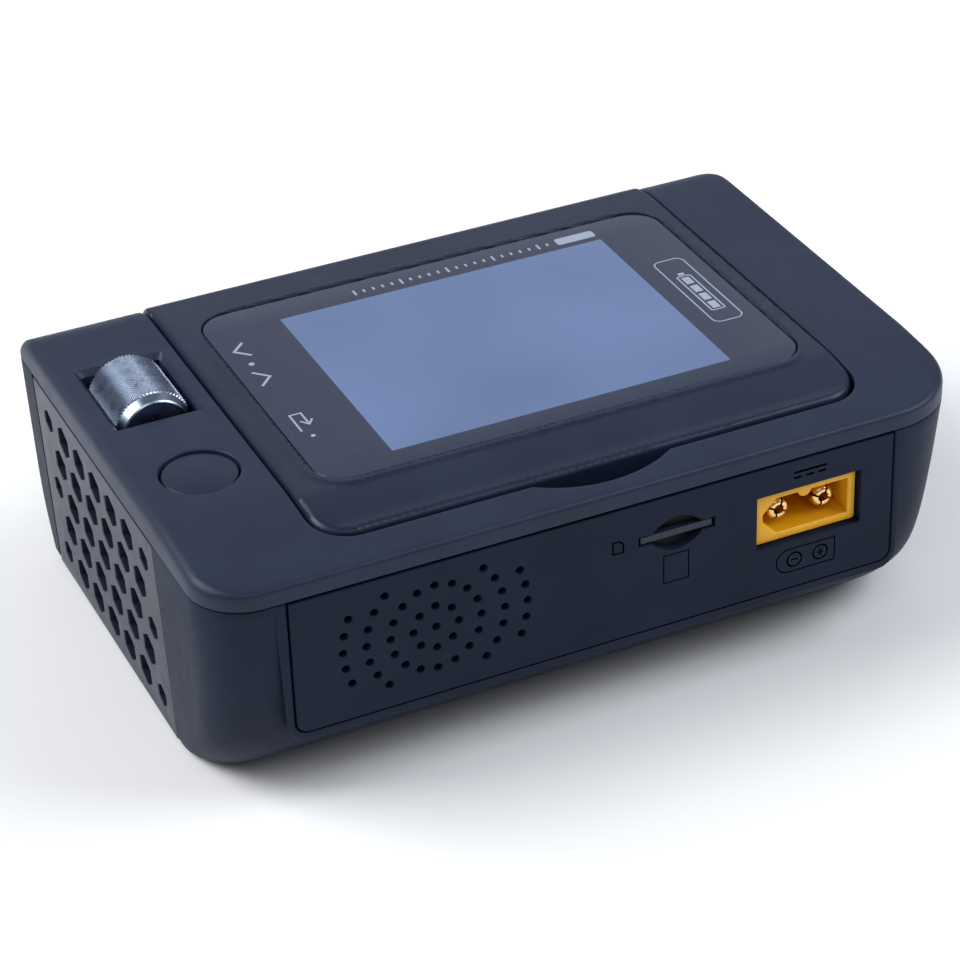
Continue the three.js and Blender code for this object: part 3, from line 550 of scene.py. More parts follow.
def board_green():
    """Solder mask with copper tracks showing through as a slightly lighter grid."""
    colour = (0.008, 0.05, 0.022)
    material, shader, coordinates = node_material("Board", colour, 0.35)
    tracks = material.node_tree.nodes.new("ShaderNodeTexBrick")
    tracks.inputs["Scale"].default_value = 260
    tracks.inputs["Mortar Size"].default_value = 0.03
    material.node_tree.links.new(coordinates.outputs["Object"], tracks.inputs["Vector"])
    tint(material, shader, tracks.outputs["Fac"], colour, (0.016, 0.085, 0.04))
    bump(material, shader, tracks.outputs["Fac"], 0.03, 0.6)
    return material


def printed_glass():
    """Black-blue printing seen under clear glass: glossy on top, a trace of dust in the print."""
    colour = (0.022, 0.03, 0.06)
    material, shader, coordinates = node_material("PrintedGlass", colour, 0.07)
    shader.inputs["Specular IOR Level"].default_value = 0.3
    smear = noise(material, coordinates, 9.0, 4.0, 0.6)
    level = ramp(material, smear.outputs["Fac"], 0.05, 0.12)
    material.node_tree.links.new(level, shader.inputs["Roughness"])
    specks = noise(material, coordinates, 0.4, 2.0)
    shade = ramp(material, specks.outputs["Fac"], 0.0, 1.0)
    tint(material, shader, shade, scaled(colour, 0.9), scaled(colour, 1.1))
    return material


def lcd_window():
    """The unlit display seen through the glass: pale blue-grey, with its fine pixel rows."""
    colour = (0.105, 0.155, 0.30)
    material, shader, coordinates = node_material("LcdWindow", colour, 0.12)
    shader.inputs["Specular IOR Level"].default_value = 0.3
    rows = material.node_tree.nodes.new("ShaderNodeTexWave")
    rows.bands_direction = "Y"
    rows.inputs["Scale"].default_value = 900
    material.node_tree.links.new(coordinates.outputs["Object"], rows.inputs["Vector"])
    clouds = noise(material, coordinates, 30.0, 1.0)
    both = material.node_tree.nodes.new("ShaderNodeMath")
    both.operation = "MULTIPLY_ADD"
    both.inputs[1].default_value = 0.25
    material.node_tree.links.new(rows.outputs["Fac"], both.inputs[0])
    material.node_tree.links.new(clouds.outputs["Fac"], both.inputs[2])
    shade = ramp(material, both.outputs["Value"], 0.0, 1.0)
    tint(material, shader, shade, scaled(colour, 0.88), scaled(colour, 1.12))
    return material


def cone_paper():
    colour = (0.02, 0.02, 0.022)
    material, shader, coordinates = node_material("ConePaper", colour, 0.85)
    fibres = noise(material, coordinates, 0.15, 4.0, 0.7)
    bump(material, shader, fibres.outputs["Fac"], 0.02)
    tint(material, shader, fibres.outputs["Fac"], scaled(colour, 0.6), scaled(colour, 1.6))
    return material


NAVY = (0.0095, 0.015, 0.034)
CASE = plastic("TubPlastic", NAVY, 0.5, 0.35, 0.012, 0.13)
GRAINED = plastic("GrainedPlastic", scaled(NAVY, 1.35), 0.44, 0.42, 0.035, 0.26)
PANEL = plastic("PanelPlastic", scaled(NAVY, 0.95), 0.55, 0.3, 0.010, 0.12)
GRILLE = plastic("GrillePlastic", scaled(NAVY, 1.2), 0.42, 0.3, 0.012, 0.42)
SCREEN = plastic("ScreenPlastic", scaled(NAVY, 1.2), 0.34, 0.5, 0.006, 0.26)
KEYCAP = plastic("KeyPlastic", scaled(NAVY, 1.2), 0.4, 0.4, 0.008, 0.25)
BLACK = plastic("BlackPlastic", (0.004, 0.004, 0.005), 0.6, 0.4, 0.01, 0.2)
CARD_FACE = plastic("CardFace", (0.02, 0.026, 0.045), 0.4, 0.3, 0.004, 0.3)
AMBER = plastic("AmberNylon", (0.86, 0.42, 0.010), 0.34, 0.5, 0.012, 0.4, 0.06)
WHITE = plastic("WhiteNylon", (0.75, 0.73, 0.66), 0.42, 0.5, 0.012, 0.5, 0.04)
RUBBER = plastic("Rubber", (0.011, 0.011, 0.012), 0.85, 0.25, 0.03, 0.3)
FERRITE = plastic("Ferrite", (0.035, 0.036, 0.038), 0.65, 0.2, 0.03, 0.4, 0.2)
SLEEVE = plastic("FoilSleeve", (0.02, 0.03, 0.11), 0.3, 0.8, 0.006, 0.5, 0.08)
FILM = plastic("RibbonFilm", (0.42, 0.19, 0.03), 0.3, 1.2, 0.01, 0.5, 0.1)
WHITE_INK = plastic("WhiteInk", (0.30, 0.34, 0.46), 0.5, 0.1, 0.003, 0.3, 0.05)
# painted shade: the dark colour that makes the DC side's marks look engraved
PAINTED_ENGRAVING_SHADE = plastic("PaintedEngravingShade", scaled(NAVY, 0.35), 0.3, 0.1, 0.003, 0.5, 0.05)
STEEL = metal("Steel", (0.62, 0.64, 0.67), 0.26)
KNURLED = metal("KnurledSteel", (0.31, 0.37, 0.49), 0.28, 0.1, 0.0015)
GOLD = metal("Gold", (0.93, 0.62, 0.26), 0.2, 0.15, 0.0015)
ALUMINIUM = metal("Aluminium", (0.6, 0.61, 0.63), 0.38, 0.1, 0.003, (0.05, 1, 1))
BOARD = board_green()
GLASS_PRINT = printed_glass()
LCD_FACE = lcd_window()
CONE = cone_paper()


# ------------------------------------------------------------------ top lid
def lid_height(y):
    """Height of the lid's top: flat, then sloping down towards the near side."""
    reach = (SLOPE_START_Y - y) / (SLOPE_START_Y + HALF_Y)
    return LID_TOP - (LID_TOP - BAND_TOP) * max(reach, 0.0) ** SLOPE_POWER


def edge_radius(nx, ny):
    """Rounding of the lid's outer edge, blended round the corners by the way it faces."""
    side = EDGE_R["right"] if nx > 0 else EDGE_R["left"]
    end = EDGE_R["far"] if ny > 0 else EDGE_R["near"]
    return side * nx * nx + end * ny * ny


def outline_normal(x, y):
    """The way the nearest point of the case's outline faces."""
    r = corner_radius(CORNERS, x, y)
    ix = max(abs(x) - (HALF_X - r), 0) * (1 if x > 0 else -1)
    iy = max(abs(y) - (HALF_Y - r), 0) * (1 if y > 0 else -1)
    if ix and iy:
        length = math.hypot(ix, iy)
        return ix / length, iy / length
    if HALF_X - abs(x) < HALF_Y - abs(y):
        return (1 if x > 0 else -1), 0
    return 0, (1 if y > 0 else -1)


POCKET_X0 = BEZEL[0] - POCKET["side"]
POCKET_X1 = BEZEL[1] + POCKET["side"]
POCKET_Y0 = BEZEL[2] - POCKET["near"]
NOTCH_R = (NOTCH["half"] ** 2 + NOTCH["depth"] ** 2) / (2 * NOTCH["depth"])
NOTCH_Y = POCKET_Y0 - NOTCH["depth"] + NOTCH_R
WHEEL_X = (ROLLER[0] + ROLLER[1]) / 2
WHEEL_Y = (ROLLER[2] + ROLLER[3]) / 2
WHEEL_Z = (ROLLER[4] + ROLLER[5]) / 2
KEY_X = (BUTTON[0] + BUTTON[1]) / 2
KEY_Y = (BUTTON[2] + BUTTON[3]) / 2


def pocket_loop(grow=0.0, far=HALF_Y, spacing=None):
    """The screen pocket's outline, its two far corners square."""
    r = POCKET["corner"]
    return rounded_rect(
        POCKET_X0 - grow, POCKET_X1 + grow, POCKET_Y0 - grow, far, [r + grow, r + grow, 0, 0], 12, spacing
    )


def pocket_distance(x, y):
    """Distance outside the screen pocket and its finger notch."""
    pocket = rect_distance(
        x, y, POCKET_X0, POCKET_X1, POCKET_Y0, 3 * HALF_Y, POCKET["corner"]
    )
    if y > NOTCH_Y - NOTCH_R * 0.5:
        return pocket
    notch = math.hypot(x - NOTCH["x"], y - NOTCH_Y) - NOTCH_R
    return min(pocket, notch)


def window_loop(half_x, half_y, spacing=1.0):
    return rounded_rect(
        WHEEL_X - half_x, WHEEL_X + half_x, WHEEL_Y - half_y, WHEEL_Y + half_y, 0, 4, spacing
    )


def window_drop(x, y):
    """How far the bevel round the wheel's window lies below the lid."""
    out_x = (abs(x - WHEEL_X) - WINDOW["x"] / 2) / WINDOW["bevel_x"]
    out_y = (abs(y - WHEEL_Y) - WINDOW["y"] / 2) / WINDOW["bevel_y"]
    return WINDOW["drop"] * max(0.0, 1 - max(out_x, out_y, 0.0))


def far_roll(y):
    """How far the rolled far edge lies below the lid's top: a quarter of an ellipse."""
    into = max(0.0, y - (HALF_Y - FAR_ROLL["reach"])) / FAR_ROLL["reach"]
    return FAR_ROLL["drop"] * (1 - math.sqrt(max(1 - into * into, 0.0)))


def lid_top(x, y):
    nx, ny = outline_normal(x, y)
    depth = -rect_distance(x, y, -HALF_X, HALF_X, -HALF_Y, HALF_Y, CORNERS)
    edge = fillet_drop(depth, edge_radius(nx, ny))
    z = lid_height(y) - min(edge + far_roll(y), FAR_ROLL["drop"] + 0.2)
    z -= fillet_drop(pocket_distance(x, y), POCKET["fillet"])
    z -= fillet_drop(math.hypot(x - KEY_X, y - KEY_Y) - BUTTON_R - BUTTON_GAP, BUTTON_FILLET)
    return z - window_drop(x, y)


def pocket_edge():
    """The edge of the screen pocket and its finger notch, from its far left round to its far right."""
    half = math.asin(NOTCH["half"] / NOTCH_R)
    r = POCKET["corner"]
    steps = 12
    edge = [(POCKET_X0, HALF_Y), (POCKET_X0, POCKET_Y0 + r)]
    for k in range(1, steps + 1):
        a = math.pi + k / steps * math.pi / 2
        edge.append((POCKET_X0 + r + r * math.cos(a), POCKET_Y0 + r + r * math.sin(a)))
    for k in range(2 * steps + 1):
        a = -math.pi / 2 - half + half * k / steps
        edge.append((NOTCH["x"] + NOTCH_R * math.cos(a), NOTCH_Y + NOTCH_R * math.sin(a)))
    for k in range(steps + 1):
        a = -math.pi / 2 + k / steps * math.pi / 2
        edge.append((POCKET_X1 - r + r * math.cos(a), POCKET_Y0 + r + r * math.sin(a)))
    edge.append((POCKET_X1, HALF_Y))
    return fill_sides(edge, 1.5, closed=False)


def lid_plan():
    return rounded_rect(-HALF_X, HALF_X, -HALF_Y, HALF_Y, CORNERS, 14, 1.6)


def lid_domain():
    """The lid's outline: the plan with the screen pocket, and its finger notch, cut from the far side."""
    plan = lid_plan()
    far = HALF_Y - 1e-6
    right = sorted((p for p in plan if p[1] > far and p[0] > POCKET_X1 + 0.2), reverse=True)
    left = sorted((p for p in plan if p[1] > far and p[0] < POCKET_X0 - 0.2), reverse=True)
    rest = [p for p in plan if p[1] <= far]
    start = max(range(len(rest)), key=lambda i: (rest[i][0] < 0, rest[i][1]))
    around = rest[start:] + rest[:start]
    return pocket_edge()[::-1] + left + around + right


def lid_rings():
    """Loose points that let the mesh follow the lid's rounded edges, and a grid over the rest."""
    points = []
    for x, y in lid_plan():
        nx, ny = outline_normal(x * 0.9999, y * 0.9999)
        radius = edge_radius(nx, ny)
        for k in range(1, 8):
            depth = radius * (1 - math.cos(math.pi / 2 * k / 7))
            points.append((x - nx * depth, y - ny * depth))
        points += [(x - nx * (radius + far), y - ny * (radius + far)) for far in (0.5, 1.6)]
    edge = pocket_edge()
    for k in range(1, 5):
        points += offset_loop(edge, -POCKET["fillet"] * (1 - math.cos(math.pi / 8 * k)))
    points += offset_loop(edge, -POCKET["fillet"] - 0.6)
    for k in range(1, 4):
        gap = BUTTON_R + BUTTON_GAP + BUTTON_FILLET * (1 - math.cos(math.pi / 6 * k))
        points += circle(KEY_X, KEY_Y, gap, 72)
    points += circle(KEY_X, KEY_Y, BUTTON_R + 1.4, 72)
    half_x = WINDOW["x"] / 2 + WINDOW["bevel_x"]
    half_y = WINDOW["y"] / 2 + WINDOW["bevel_y"]
    for grow in (0.0, 0.01, 0.6):
        points += window_loop(half_x + grow, half_y + grow, 0.5)
    roll = [HALF_Y - FAR_ROLL["reach"] * (1 - math.sin(math.pi / 2 * k / 10)) for k in range(1, 10)]
    rows = [j * 1.9 + 0.2 for j in range(-20, 17)] + roll
    clear = 1.1
    for i in range(-29, 30):
        points += [(i * 2.0 + 0.3, y) for y in rows if in_lid(i * 2.0 + 0.3, y, clear)]
    return points


def in_lid(x, y, margin):
    """True where a loose point is on the lid, clear of its holes and edges."""
    if rect_distance(x, y, -HALF_X, HALF_X, -HALF_Y, HALF_Y, CORNERS) > -margin:
        return False
    if pocket_distance(x, y) < margin:
        return False
    if math.hypot(x - KEY_X, y - KEY_Y) < BUTTON_R + BUTTON_GAP + margin:
        return False
    window_x = abs(x - WHEEL_X) - WINDOW["x"] / 2
    window_y = abs(y - WHEEL_Y) - WINDOW["y"] / 2
    return max(window_x, window_y) > margin


def screw_spots():
    """The four case screws' axes, from the CAD."""
    spots = []
    for i in range(1, 5):
        x0, x1, y0, y1, _, _ = cad(f"case_screw_{i}")
        spots.append(((x0 + x1) / 2, (y0 + y1) / 2))
    return spots


SCREWS = screw_spots()


def make_lid():
    holes = [
        window_loop(WINDOW["x"] / 2, WINDOW["y"] / 2),
        circle(KEY_X, KEY_Y, BUTTON_R + BUTTON_GAP, 72),
    ]
    loose = [p for p in lid_rings() if in_lid(*p, 0.004)]
    lid = shell_between(
        "lid_shell", lid_domain(), holes, loose, lid_top, lambda x, y: SEAM_Z + LID_GAP, 38
    )
    ceiling = LID_TOP - LID_SKIN
    low = SEAM_Z - 1
    inner = HALF_X - LID_SKIN
    cavities = [
        rounded_rect(-inner, POCKET_X0 - 1.6, -29, HALF_Y - 5, 3),
        rounded_rect(POCKET_X1 + 1.6, inner, -29, HALF_Y - 5, 3),
    ]
    boolean(lid, [extruded("cavity", loop, low, ceiling) for loop in cavities])
    r, z0, top = POST["r"], POST["z0"], ceiling + 0.4
    post = [(0, z0), (r - 0.2, z0), (r, z0 + 0.3), (r, top), (0, top)]
    boolean(lid, [lathe("post", post, "z", (x, y, 0), 32) for x, y in SCREWS], "UNION")
    bore = [(0, z0 - 1.4), (POST["bore"], z0 - 1.4), (POST["bore"], POST["tip"]), (0, POST["tip"])]
    boolean(lid, [lathe("bore", bore, "z", (x, y, 0), 20) for x, y in SCREWS])
    tidy_mesh(lid, 38)
    return finish_piece(lid, "case", GRAINED, "case_plastic", "top_lid")


def rod_cut(name, r, x0, x1, segments=24):
    """A plain rod along the hinge's axis, to cut with."""
    return lathe(name, [(0, x0), (r, x0), (r, x1), (0, x1)], "x", (0, BARREL_Y, BARREL_Z), segments)


def make_tray():
    """The dished floor under the screen, with the trough that its barrel turns in."""
    top = SEAM_Z + LID_GAP - 0.02
    x0, x1 = POCKET_X0 - 1.2, POCKET_X1 + 1.2
    floor_z = BACK_COVER[4] - GAP
    tray = block("tray", x0, x1, POCKET_Y0 - 1, BARREL_Y, floor_z - 1.1, top)
    shelf = block("shelf", x0, x1, BARREL_Y - 6.1, HALF_Y - 0.02, OUTPUT_PANEL[5] + 0.6, top)
    boolean(tray, [shelf], "UNION")
    cuts = [
        extruded("pocket", pocket_loop(0, HALF_Y + 5), floor_z, top + 5),
        rod_cut("trough", BARREL_R + 0.4, POCKET_X0 + 0.1, POCKET_X1 - 0.1, 96),
        block("lip", BEZEL[0], BEZEL[1], BARREL_Y + 2, HALF_Y + 1, 30.4, BARREL_Z),
        block("slot", *RIBBON_SLOT, floor_z - 3, floor_z + 1),
    ]
    for from_x, to_x in ((x0 - 1, x0 + 3), (x1 - 3, x1 + 1)):
        cuts.append(rod_cut("hinge_bore", HINGE_BORE, from_x, to_x))
    boolean(tray, cuts)
    flatten(tray)
    tidy_mesh(tray)
    tray.name = "screen_tray"
    return finish_piece(tray, "case", CASE, "case_plastic", "top_lid")


def make_notch_painted_shade():
    """Painted shade in the finger notch under the screen's near edge: a black plastic piece at the notch's
    floor, where the case plastic only lies in shadow.
    """
    half = math.asin(NOTCH["half"] / NOTCH_R)
    r = NOTCH_R - 0.15
    arc = [-math.pi / 2 - half + half * k / 12 for k in range(25)]
    outline = [(NOTCH["x"] + r * math.cos(a), NOTCH_Y + r * math.sin(a)) for a in arc]
    outline += [(NOTCH["x"] + NOTCH["half"], POCKET_Y0 - 0.2), (NOTCH["x"] - NOTCH["half"], POCKET_Y0 - 0.2)]
    low = SEAM_Z + 0.02
    floor = extruded("notch_painted_shade", [p for p in outline if p[1] < POCKET_Y0 - 0.15], low, NOTCH["floor"])
    # the black plastic here is painted shade of the notch, not a black part
    return finish_piece(floor, "case", BLACK, "black_plastic")


# ------------------------------------------------------------------ tub
TUB_LEVELS = [  # height, and how far the near and far sides stand in from the plan there
    (BASE_Z, 12.0, 3.0),
    (7, 5.0, 1.0),
    (12, 2.4, 0.2),
    (22, 0.8, 0.0),
    (SEAM_Z, 0.0, 0.0),
]
TAPER = {-1: 1.0, 1: 2.6}  # how far the left and right ends stand in at the foot


def lean(side, z):
    """How far an end stands in from the plan at a height."""
    return TAPER[side] * (SEAM_Z - z) / (SEAM_Z - BASE_Z)


def tub_insets(z):
    """Insets of the near and far sides at a height, on smooth curves through the levels."""
    i = 0
    while i < len(TUB_LEVELS) - 2 and z > TUB_LEVELS[i + 1][0]:
        i += 1
    (z0, *a), (z1, *b) = TUB_LEVELS[i], TUB_LEVELS[i + 1]
    (before, *p) = TUB_LEVELS[max(i - 1, 0)]
    (after, *n) = TUB_LEVELS[min(i + 2, len(TUB_LEVELS) - 1)]
    span = z1 - z0
    t = (z - z0) / span
    values = []
    for k in range(2):
        slope_a = (b[k] - p[k]) / (z1 - before)
        slope_b = (n[k] - a[k]) / (after - z0)
        h00 = 2 * t**3 - 3 * t**2 + 1
        h10 = t**3 - 2 * t**2 + t
        h01 = 3 * t**2 - 2 * t**3
        h11 = t**3 - t**2
        value = h00 * a[k] + h10 * span * slope_a + h01 * b[k] + h11 * span * slope_b
        values.append(max(value, 0.0))
    return values


def tub_form(name, inset, base, top, round_base=0.0, round_top=0.0):
    """The tub's outer form, or its hollow when inset; its foot and rim can be rounded."""
    steps = 22
    heights = [base + (top - base) * k / steps for k in range(steps + 1)]
    extra = [0.0] * len(heights)
    if round_base:
        heights = heights[:1] + [base + round_base * s for s in (0.3, 0.65, 1.0)] + heights[1:]
        extra = [round_base * s for s in (1.0, 0.29, 0.06, 0.0)] + [0.0] * (len(heights) - 4)
    if round_top:
        heights = heights[:-1] + [top - round_top, top - round_top * 0.3, top]
        extra = extra[:-1] + [0.0, round_top * 0.3, round_top]
    radii = [max(r - inset, 0.5) for r in CORNERS]
    loops = []
    for z, more in zip(heights, extra):
        level = min(max(z - inset * 0.5, BASE_Z), SEAM_Z)
        near, far = tub_insets(level)
        inner = inset + more
        loops.append(rounded_rect(
            -HALF_X + lean(-1, level) + inner, HALF_X - lean(1, level) - inner,
            -HALF_Y + near + inner, HALF_Y - far - inner, radii, 12
        ))
    return lofted(name, loops, heights)


def panel_loop(box, grow, top=None):
    """A panel's outline in x and z: round at its lower corners."""
    x0, x1, _, _, z0, z1 = box
    r = 1.8 + grow
    return rounded_rect(x0 - grow, x1 + grow, z0 - grow, top or z1 + grow, [r, r, 0, 0], 8)


FRAME_HALF = 47.9
FRAME_DEPTH = 4.5
SEAT = 2.3
PANEL_THICK = 1.6


def frame_loop():
    """The upright frame of the near side, in x and z: a little narrower at its foot."""
    r, z0, foot = 3.0, 11.0, FRAME_HALF - 0.9
    points = [(-FRAME_HALF, SEAM_Z), (-foot, z0 + r)]
    for side, start in ((-1, math.pi), (1, 1.5 * math.pi)):
        for k in range(9):
            a = start + k / 8 * math.pi / 2
            points.append((side * (foot - r) + r * math.cos(a), z0 + r + r * math.sin(a)))
    points += [(foot, z0 + r), (FRAME_HALF, SEAM_Z)]
    return [(DATUM_X + x, z) for x, z in points]


def flared(name, loop_of, y_face, y_floor, flare=0.16):
    """A pocket cutter along Y, its mouth at y_face a little wider."""
    out = 1 if y_face > y_floor else -1
    loops = [loop_of(0.0), loop_of(0.0), loop_of(flare), loop_of(flare)]
    levels = [y_floor, y_face - out * flare, y_face, y_face + out]
    if out < 0:
        loops, levels = loops[::-1], levels[::-1]
    return lofted(name, loops, levels, "y")


def make_tub():
    tub = tub_form("case_tub", 0, BASE_Z, SEAM_Z, 0.8, 0.12)
    hollow = tub_form("hollow", 2, BASE_Z + 2, SEAM_Z + 1)
    boolean(tub, [hollow])
    face = plate("frame", frame_loop(), [], FRAME_DEPTH, 0.3, 3)
    face.data.transform(Matrix.Rotation(math.pi / 2, 4, "X"))
    face.data.transform(Matrix.Translation((0, -HALF_Y + FRAME_DEPTH / 2, 0)))
    rear = tub_form("rear", 0, BASE_Z, SEAM_Z)
    rear_box = block("rear_box", DATUM_X - FRAME_HALF, DATUM_X + FRAME_HALF,
                     HALF_Y - FRAME_DEPTH, HALF_Y + 1, 8, SEAM_Z - 3)
    boolean(rear, [rear_box], "INTERSECT")
    boolean(tub, [face, rear], "UNION")
    seat_y = HALF_Y - PANEL_THICK - GAP
    cuts = [
        flared("near_pocket", lambda g: panel_loop(INPUT_PANEL, GAP + g, SEAM_Z + 1), -HALF_Y, -seat_y),
        block("near_window", INPUT_PANEL[0] + SEAT, INPUT_PANEL[1] - SEAT, -HALF_Y, -30,
              INPUT_PANEL[4] + SEAT, SEAM_Z + 1),
        flared("far_pocket", lambda g: panel_loop(OUTPUT_PANEL, GAP + g), HALF_Y, seat_y),
        block("far_window", OUTPUT_PANEL[0] + SEAT, OUTPUT_PANEL[1] - SEAT, 30, HALF_Y,
              OUTPUT_PANEL[4] + SEAT, OUTPUT_PANEL[5] - 0.4),
        block("screen_gap", BEZEL[0] - 2.1, BEZEL[1] + 2.1, 30, HALF_Y + 1,
              OUTPUT_PANEL[5] + GAP, SEAM_Z + 1),
    ]
    for side, vent in VENTS.items():
        depth = min(abs(vent[0]), abs(vent[1])) - GAP
        a, b = sorted((side * depth, side * (HALF_X + 1)))
        c, d = sorted((side * (depth - 6), side * (depth + 1)))
        cuts.append(block("vent_pocket", a, b, vent[2] - GAP, vent[3] + GAP, BASE_Z - 1, SEAM_Z + 1))
        cuts.append(block("vent_window", c, d, vent[2] + SEAT, vent[3] - SEAT, BASE_Z + 3, SEAM_Z + 1))
    boolean(tub, cuts)
    boss = [(0, 1.8), (3.7, 1.8), (3.7, 5.8), (3.5, 6), (0, 6)]
    sink = [(0, 0), (2.95, 0), (2.65, 1.1), (2.6, 3), (1.5, 3.02), (1.5, 7), (0, 7)]
    seat = [(0, 0), (4.45, 0), (4.3, 0.95), (4.3, 1.4), (0, 1.4)]
    bosses = []
    holes = []
    for i, (x, y) in enumerate(SCREWS):
        bosses.append(lathe("boss", boss, "z", (x, y, 0), 40))
        holes.append(lathe("sink", sink, "z", (x, y, 0), 40))
        foot = cad(f"rubber_foot_{i + 1}")
        spot = ((foot[0] + foot[1]) / 2, (foot[2] + foot[3]) / 2, 0)
        holes.append(lathe("foot_seat", seat, "z", spot, 48))
    boolean(tub, bosses, "UNION")
    boolean(tub, holes)
    flatten(tub, 0.2)
    tidy_mesh(tub, 32)
    return finish_piece(tub, "case", CASE, "case_plastic", "lower_case")


# ------------------------------------------------------------------ panels
FLAT_DEG = 12  # flat panels: shading breaks at their small rounded edges
SPEAKER = cad("speaker_frame")
SPEAKER_X = (SPEAKER[0] + SPEAKER[1]) / 2
SPEAKER_Z = (SPEAKER[4] + SPEAKER[5]) / 2
CARD = cad("memory_card")
CARD_X = (CARD[0] + CARD[1]) / 2
CARD_Z = (CARD[4] + CARD[5]) / 2
CARD_SLOT = {"clear_x": 0.45, "clear_z": 0.3, "scoop": 9.4, "scoop_h": 5.4, "deep": 1.2}
HEX = {"flat": 4.4, "small": 3.2, "pitch": 6.8, "step": 5.8, "rows": 5, "z": 17, "y": 7.2}


def speaker_spots():
    """Whole inner rings of holes, and two fans of holes outside them."""
    spots = [(0, 0)]
    rings = [(3.35, 8, 45, 0), (6.7, 16, 22.5, 0)]
    for facing in (0, 180):
        rings += [(10.2, 7, 15, facing - 45), (13.6, 5, 11.25, facing - 22.5)]
    for radius, count, step, start in rings:
        for k in range(count):
            a = math.radians(start + k * step)
            spots.append((radius * math.cos(a), radius * math.sin(a)))
    return spots


def stand_up(obj, y_front, thick, facing):
    """Turns a flat plate so that its x stays and its y becomes z, with its outer face at y_front."""
    obj.data.transform(Matrix.Rotation(math.pi / 2, 4, "X"))
    middle = y_front - facing * thick / 2
    obj.data.transform(Matrix.Translation((0, middle, 0)))
    return obj


def rect_hole(box, clear):
    x0, x1, _, _, z0, z1 = box
    return bar(x0 - clear, x1 + clear, z0 - clear, z1 + clear)


def lens(x, z, width, height, steps=24):
    """A pointed oval."""
    points = []
    for side in (-1, 1):
        for k in range(steps):
            t = k / steps
            u = side * (t - 0.5) * width
            points.append((x + u, z + side * height * 2 * t * (1 - t)))
    return points


def make_input_panel():
    slot = CARD_SLOT
    holes = [circle(SPEAKER_X + dx, SPEAKER_Z + dz, 0.6, 20) for dx, dz in speaker_spots()]
    holes.append(rect_hole(INPUT_SHELL, GAP))
    holes.append(bar(CARD[0] - slot["clear_x"], CARD[1] + slot["clear_x"],
                     CARD[4] - slot["clear_z"], CARD[5] + slot["clear_z"]))
    panel = plate("dc_side_panel", panel_loop(INPUT_PANEL, 0), holes, PANEL_THICK, 0.14)
    stand_up(panel, -HALF_Y, PANEL_THICK, -1)
    outline = lens(CARD_X, CARD_Z, slot["scoop"], slot["scoop_h"])
    boolean(panel, [extruded("scoop", outline, -HALF_Y - 1, -HALF_Y + slot["deep"], "y")])
    flatten(panel, 0.2)
    tidy_mesh(panel, FLAT_DEG)
    return finish_piece(panel, "case", PANEL, "panel_plastic", "input_panel")


def make_scoop_painted_shade():
    """Painted shade in the card slot's scoops: a black plate laid on their floor, over the panel's own
    plastic.
    """
    slot = CARD_SLOT
    outline = lens(CARD_X, CARD_Z, slot["scoop"] - 0.2, slot["scoop_h"] - 0.2)
    deep = -HALF_Y + slot["deep"]
    floor = extruded("scoop_painted_shade", outline, deep - 0.05, deep + 0.1, "y")
    card = block("slot", CARD[0] - 0.2, CARD[1] + 0.2, -HALF_Y, -HALF_Y + 3, CARD[4] - 0.1, CARD[5] + 0.1)
    boolean(floor, [card])
    # the black plastic here is painted shade of the hollow, not a black part
    return finish_piece(floor, "case", BLACK, "black_plastic")


def make_output_panel():
    holes = [rect_hole(cad(node), GAP) for node in ("battery_connector_shell", "balance_header")]
    usb = cad("usb_shell")
    holes.append(rounded_rect(usb[0] - GAP, usb[1] + GAP, usb[4] - GAP, usb[5] + GAP, 1.8))
    panel = plate("battery_side_panel", panel_loop(OUTPUT_PANEL, 0), holes, PANEL_THICK, 0.14)
    stand_up(panel, HALF_Y - 0.04, PANEL_THICK, 1)
    flatten(panel, 0.2)
    tidy_mesh(panel, FLAT_DEG)
    return finish_piece(panel, "case", PANEL, "panel_plastic", "output_panel")


def hexagon(y, z, across):
    r = across / math.sqrt(3)
    return [(y + r * math.cos(math.radians(30 + 60 * k)), z + r * math.sin(math.radians(30 + 60 * k)))
            for k in range(6)]


def make_vent_panel(name, node, side):
    """A hexagon grille: its inner face upright, its outer face leaning with the tub's end."""
    holes = []
    for row in range(HEX["rows"]):
        count = 6 if row % 2 else 7
        z = HEX["z"] + (row - (HEX["rows"] - 1) / 2) * HEX["step"]
        for k in range(count):
            small = count == 7 and k in (0, count - 1)
            y = HEX["y"] + (k - (count - 1) / 2) * HEX["pitch"]
            holes.append(hexagon(y, z, HEX["small"] if small else HEX["flat"]))
    vent = VENTS[side]
    outline = rounded_rect(vent[2], vent[3], BASE_Z, SEAM_Z - 0.35, 0.2, 2)
    panel = plate(name, outline, holes, 2.0, 0.16)
    inner = min(abs(vent[0]), abs(vent[1]))
    for vertex in panel.data.vertices:
        y, z, w = vertex.co
        outer = HALF_X - lean(side, z) - 0.02
        depth = (w + 1) / 2
        vertex.co = (side * (inner + depth * (outer - inner)), y, z)
    tidy_mesh(panel, FLAT_DEG)
    return finish_piece(panel, "case", GRILLE, "panel_plastic", node)


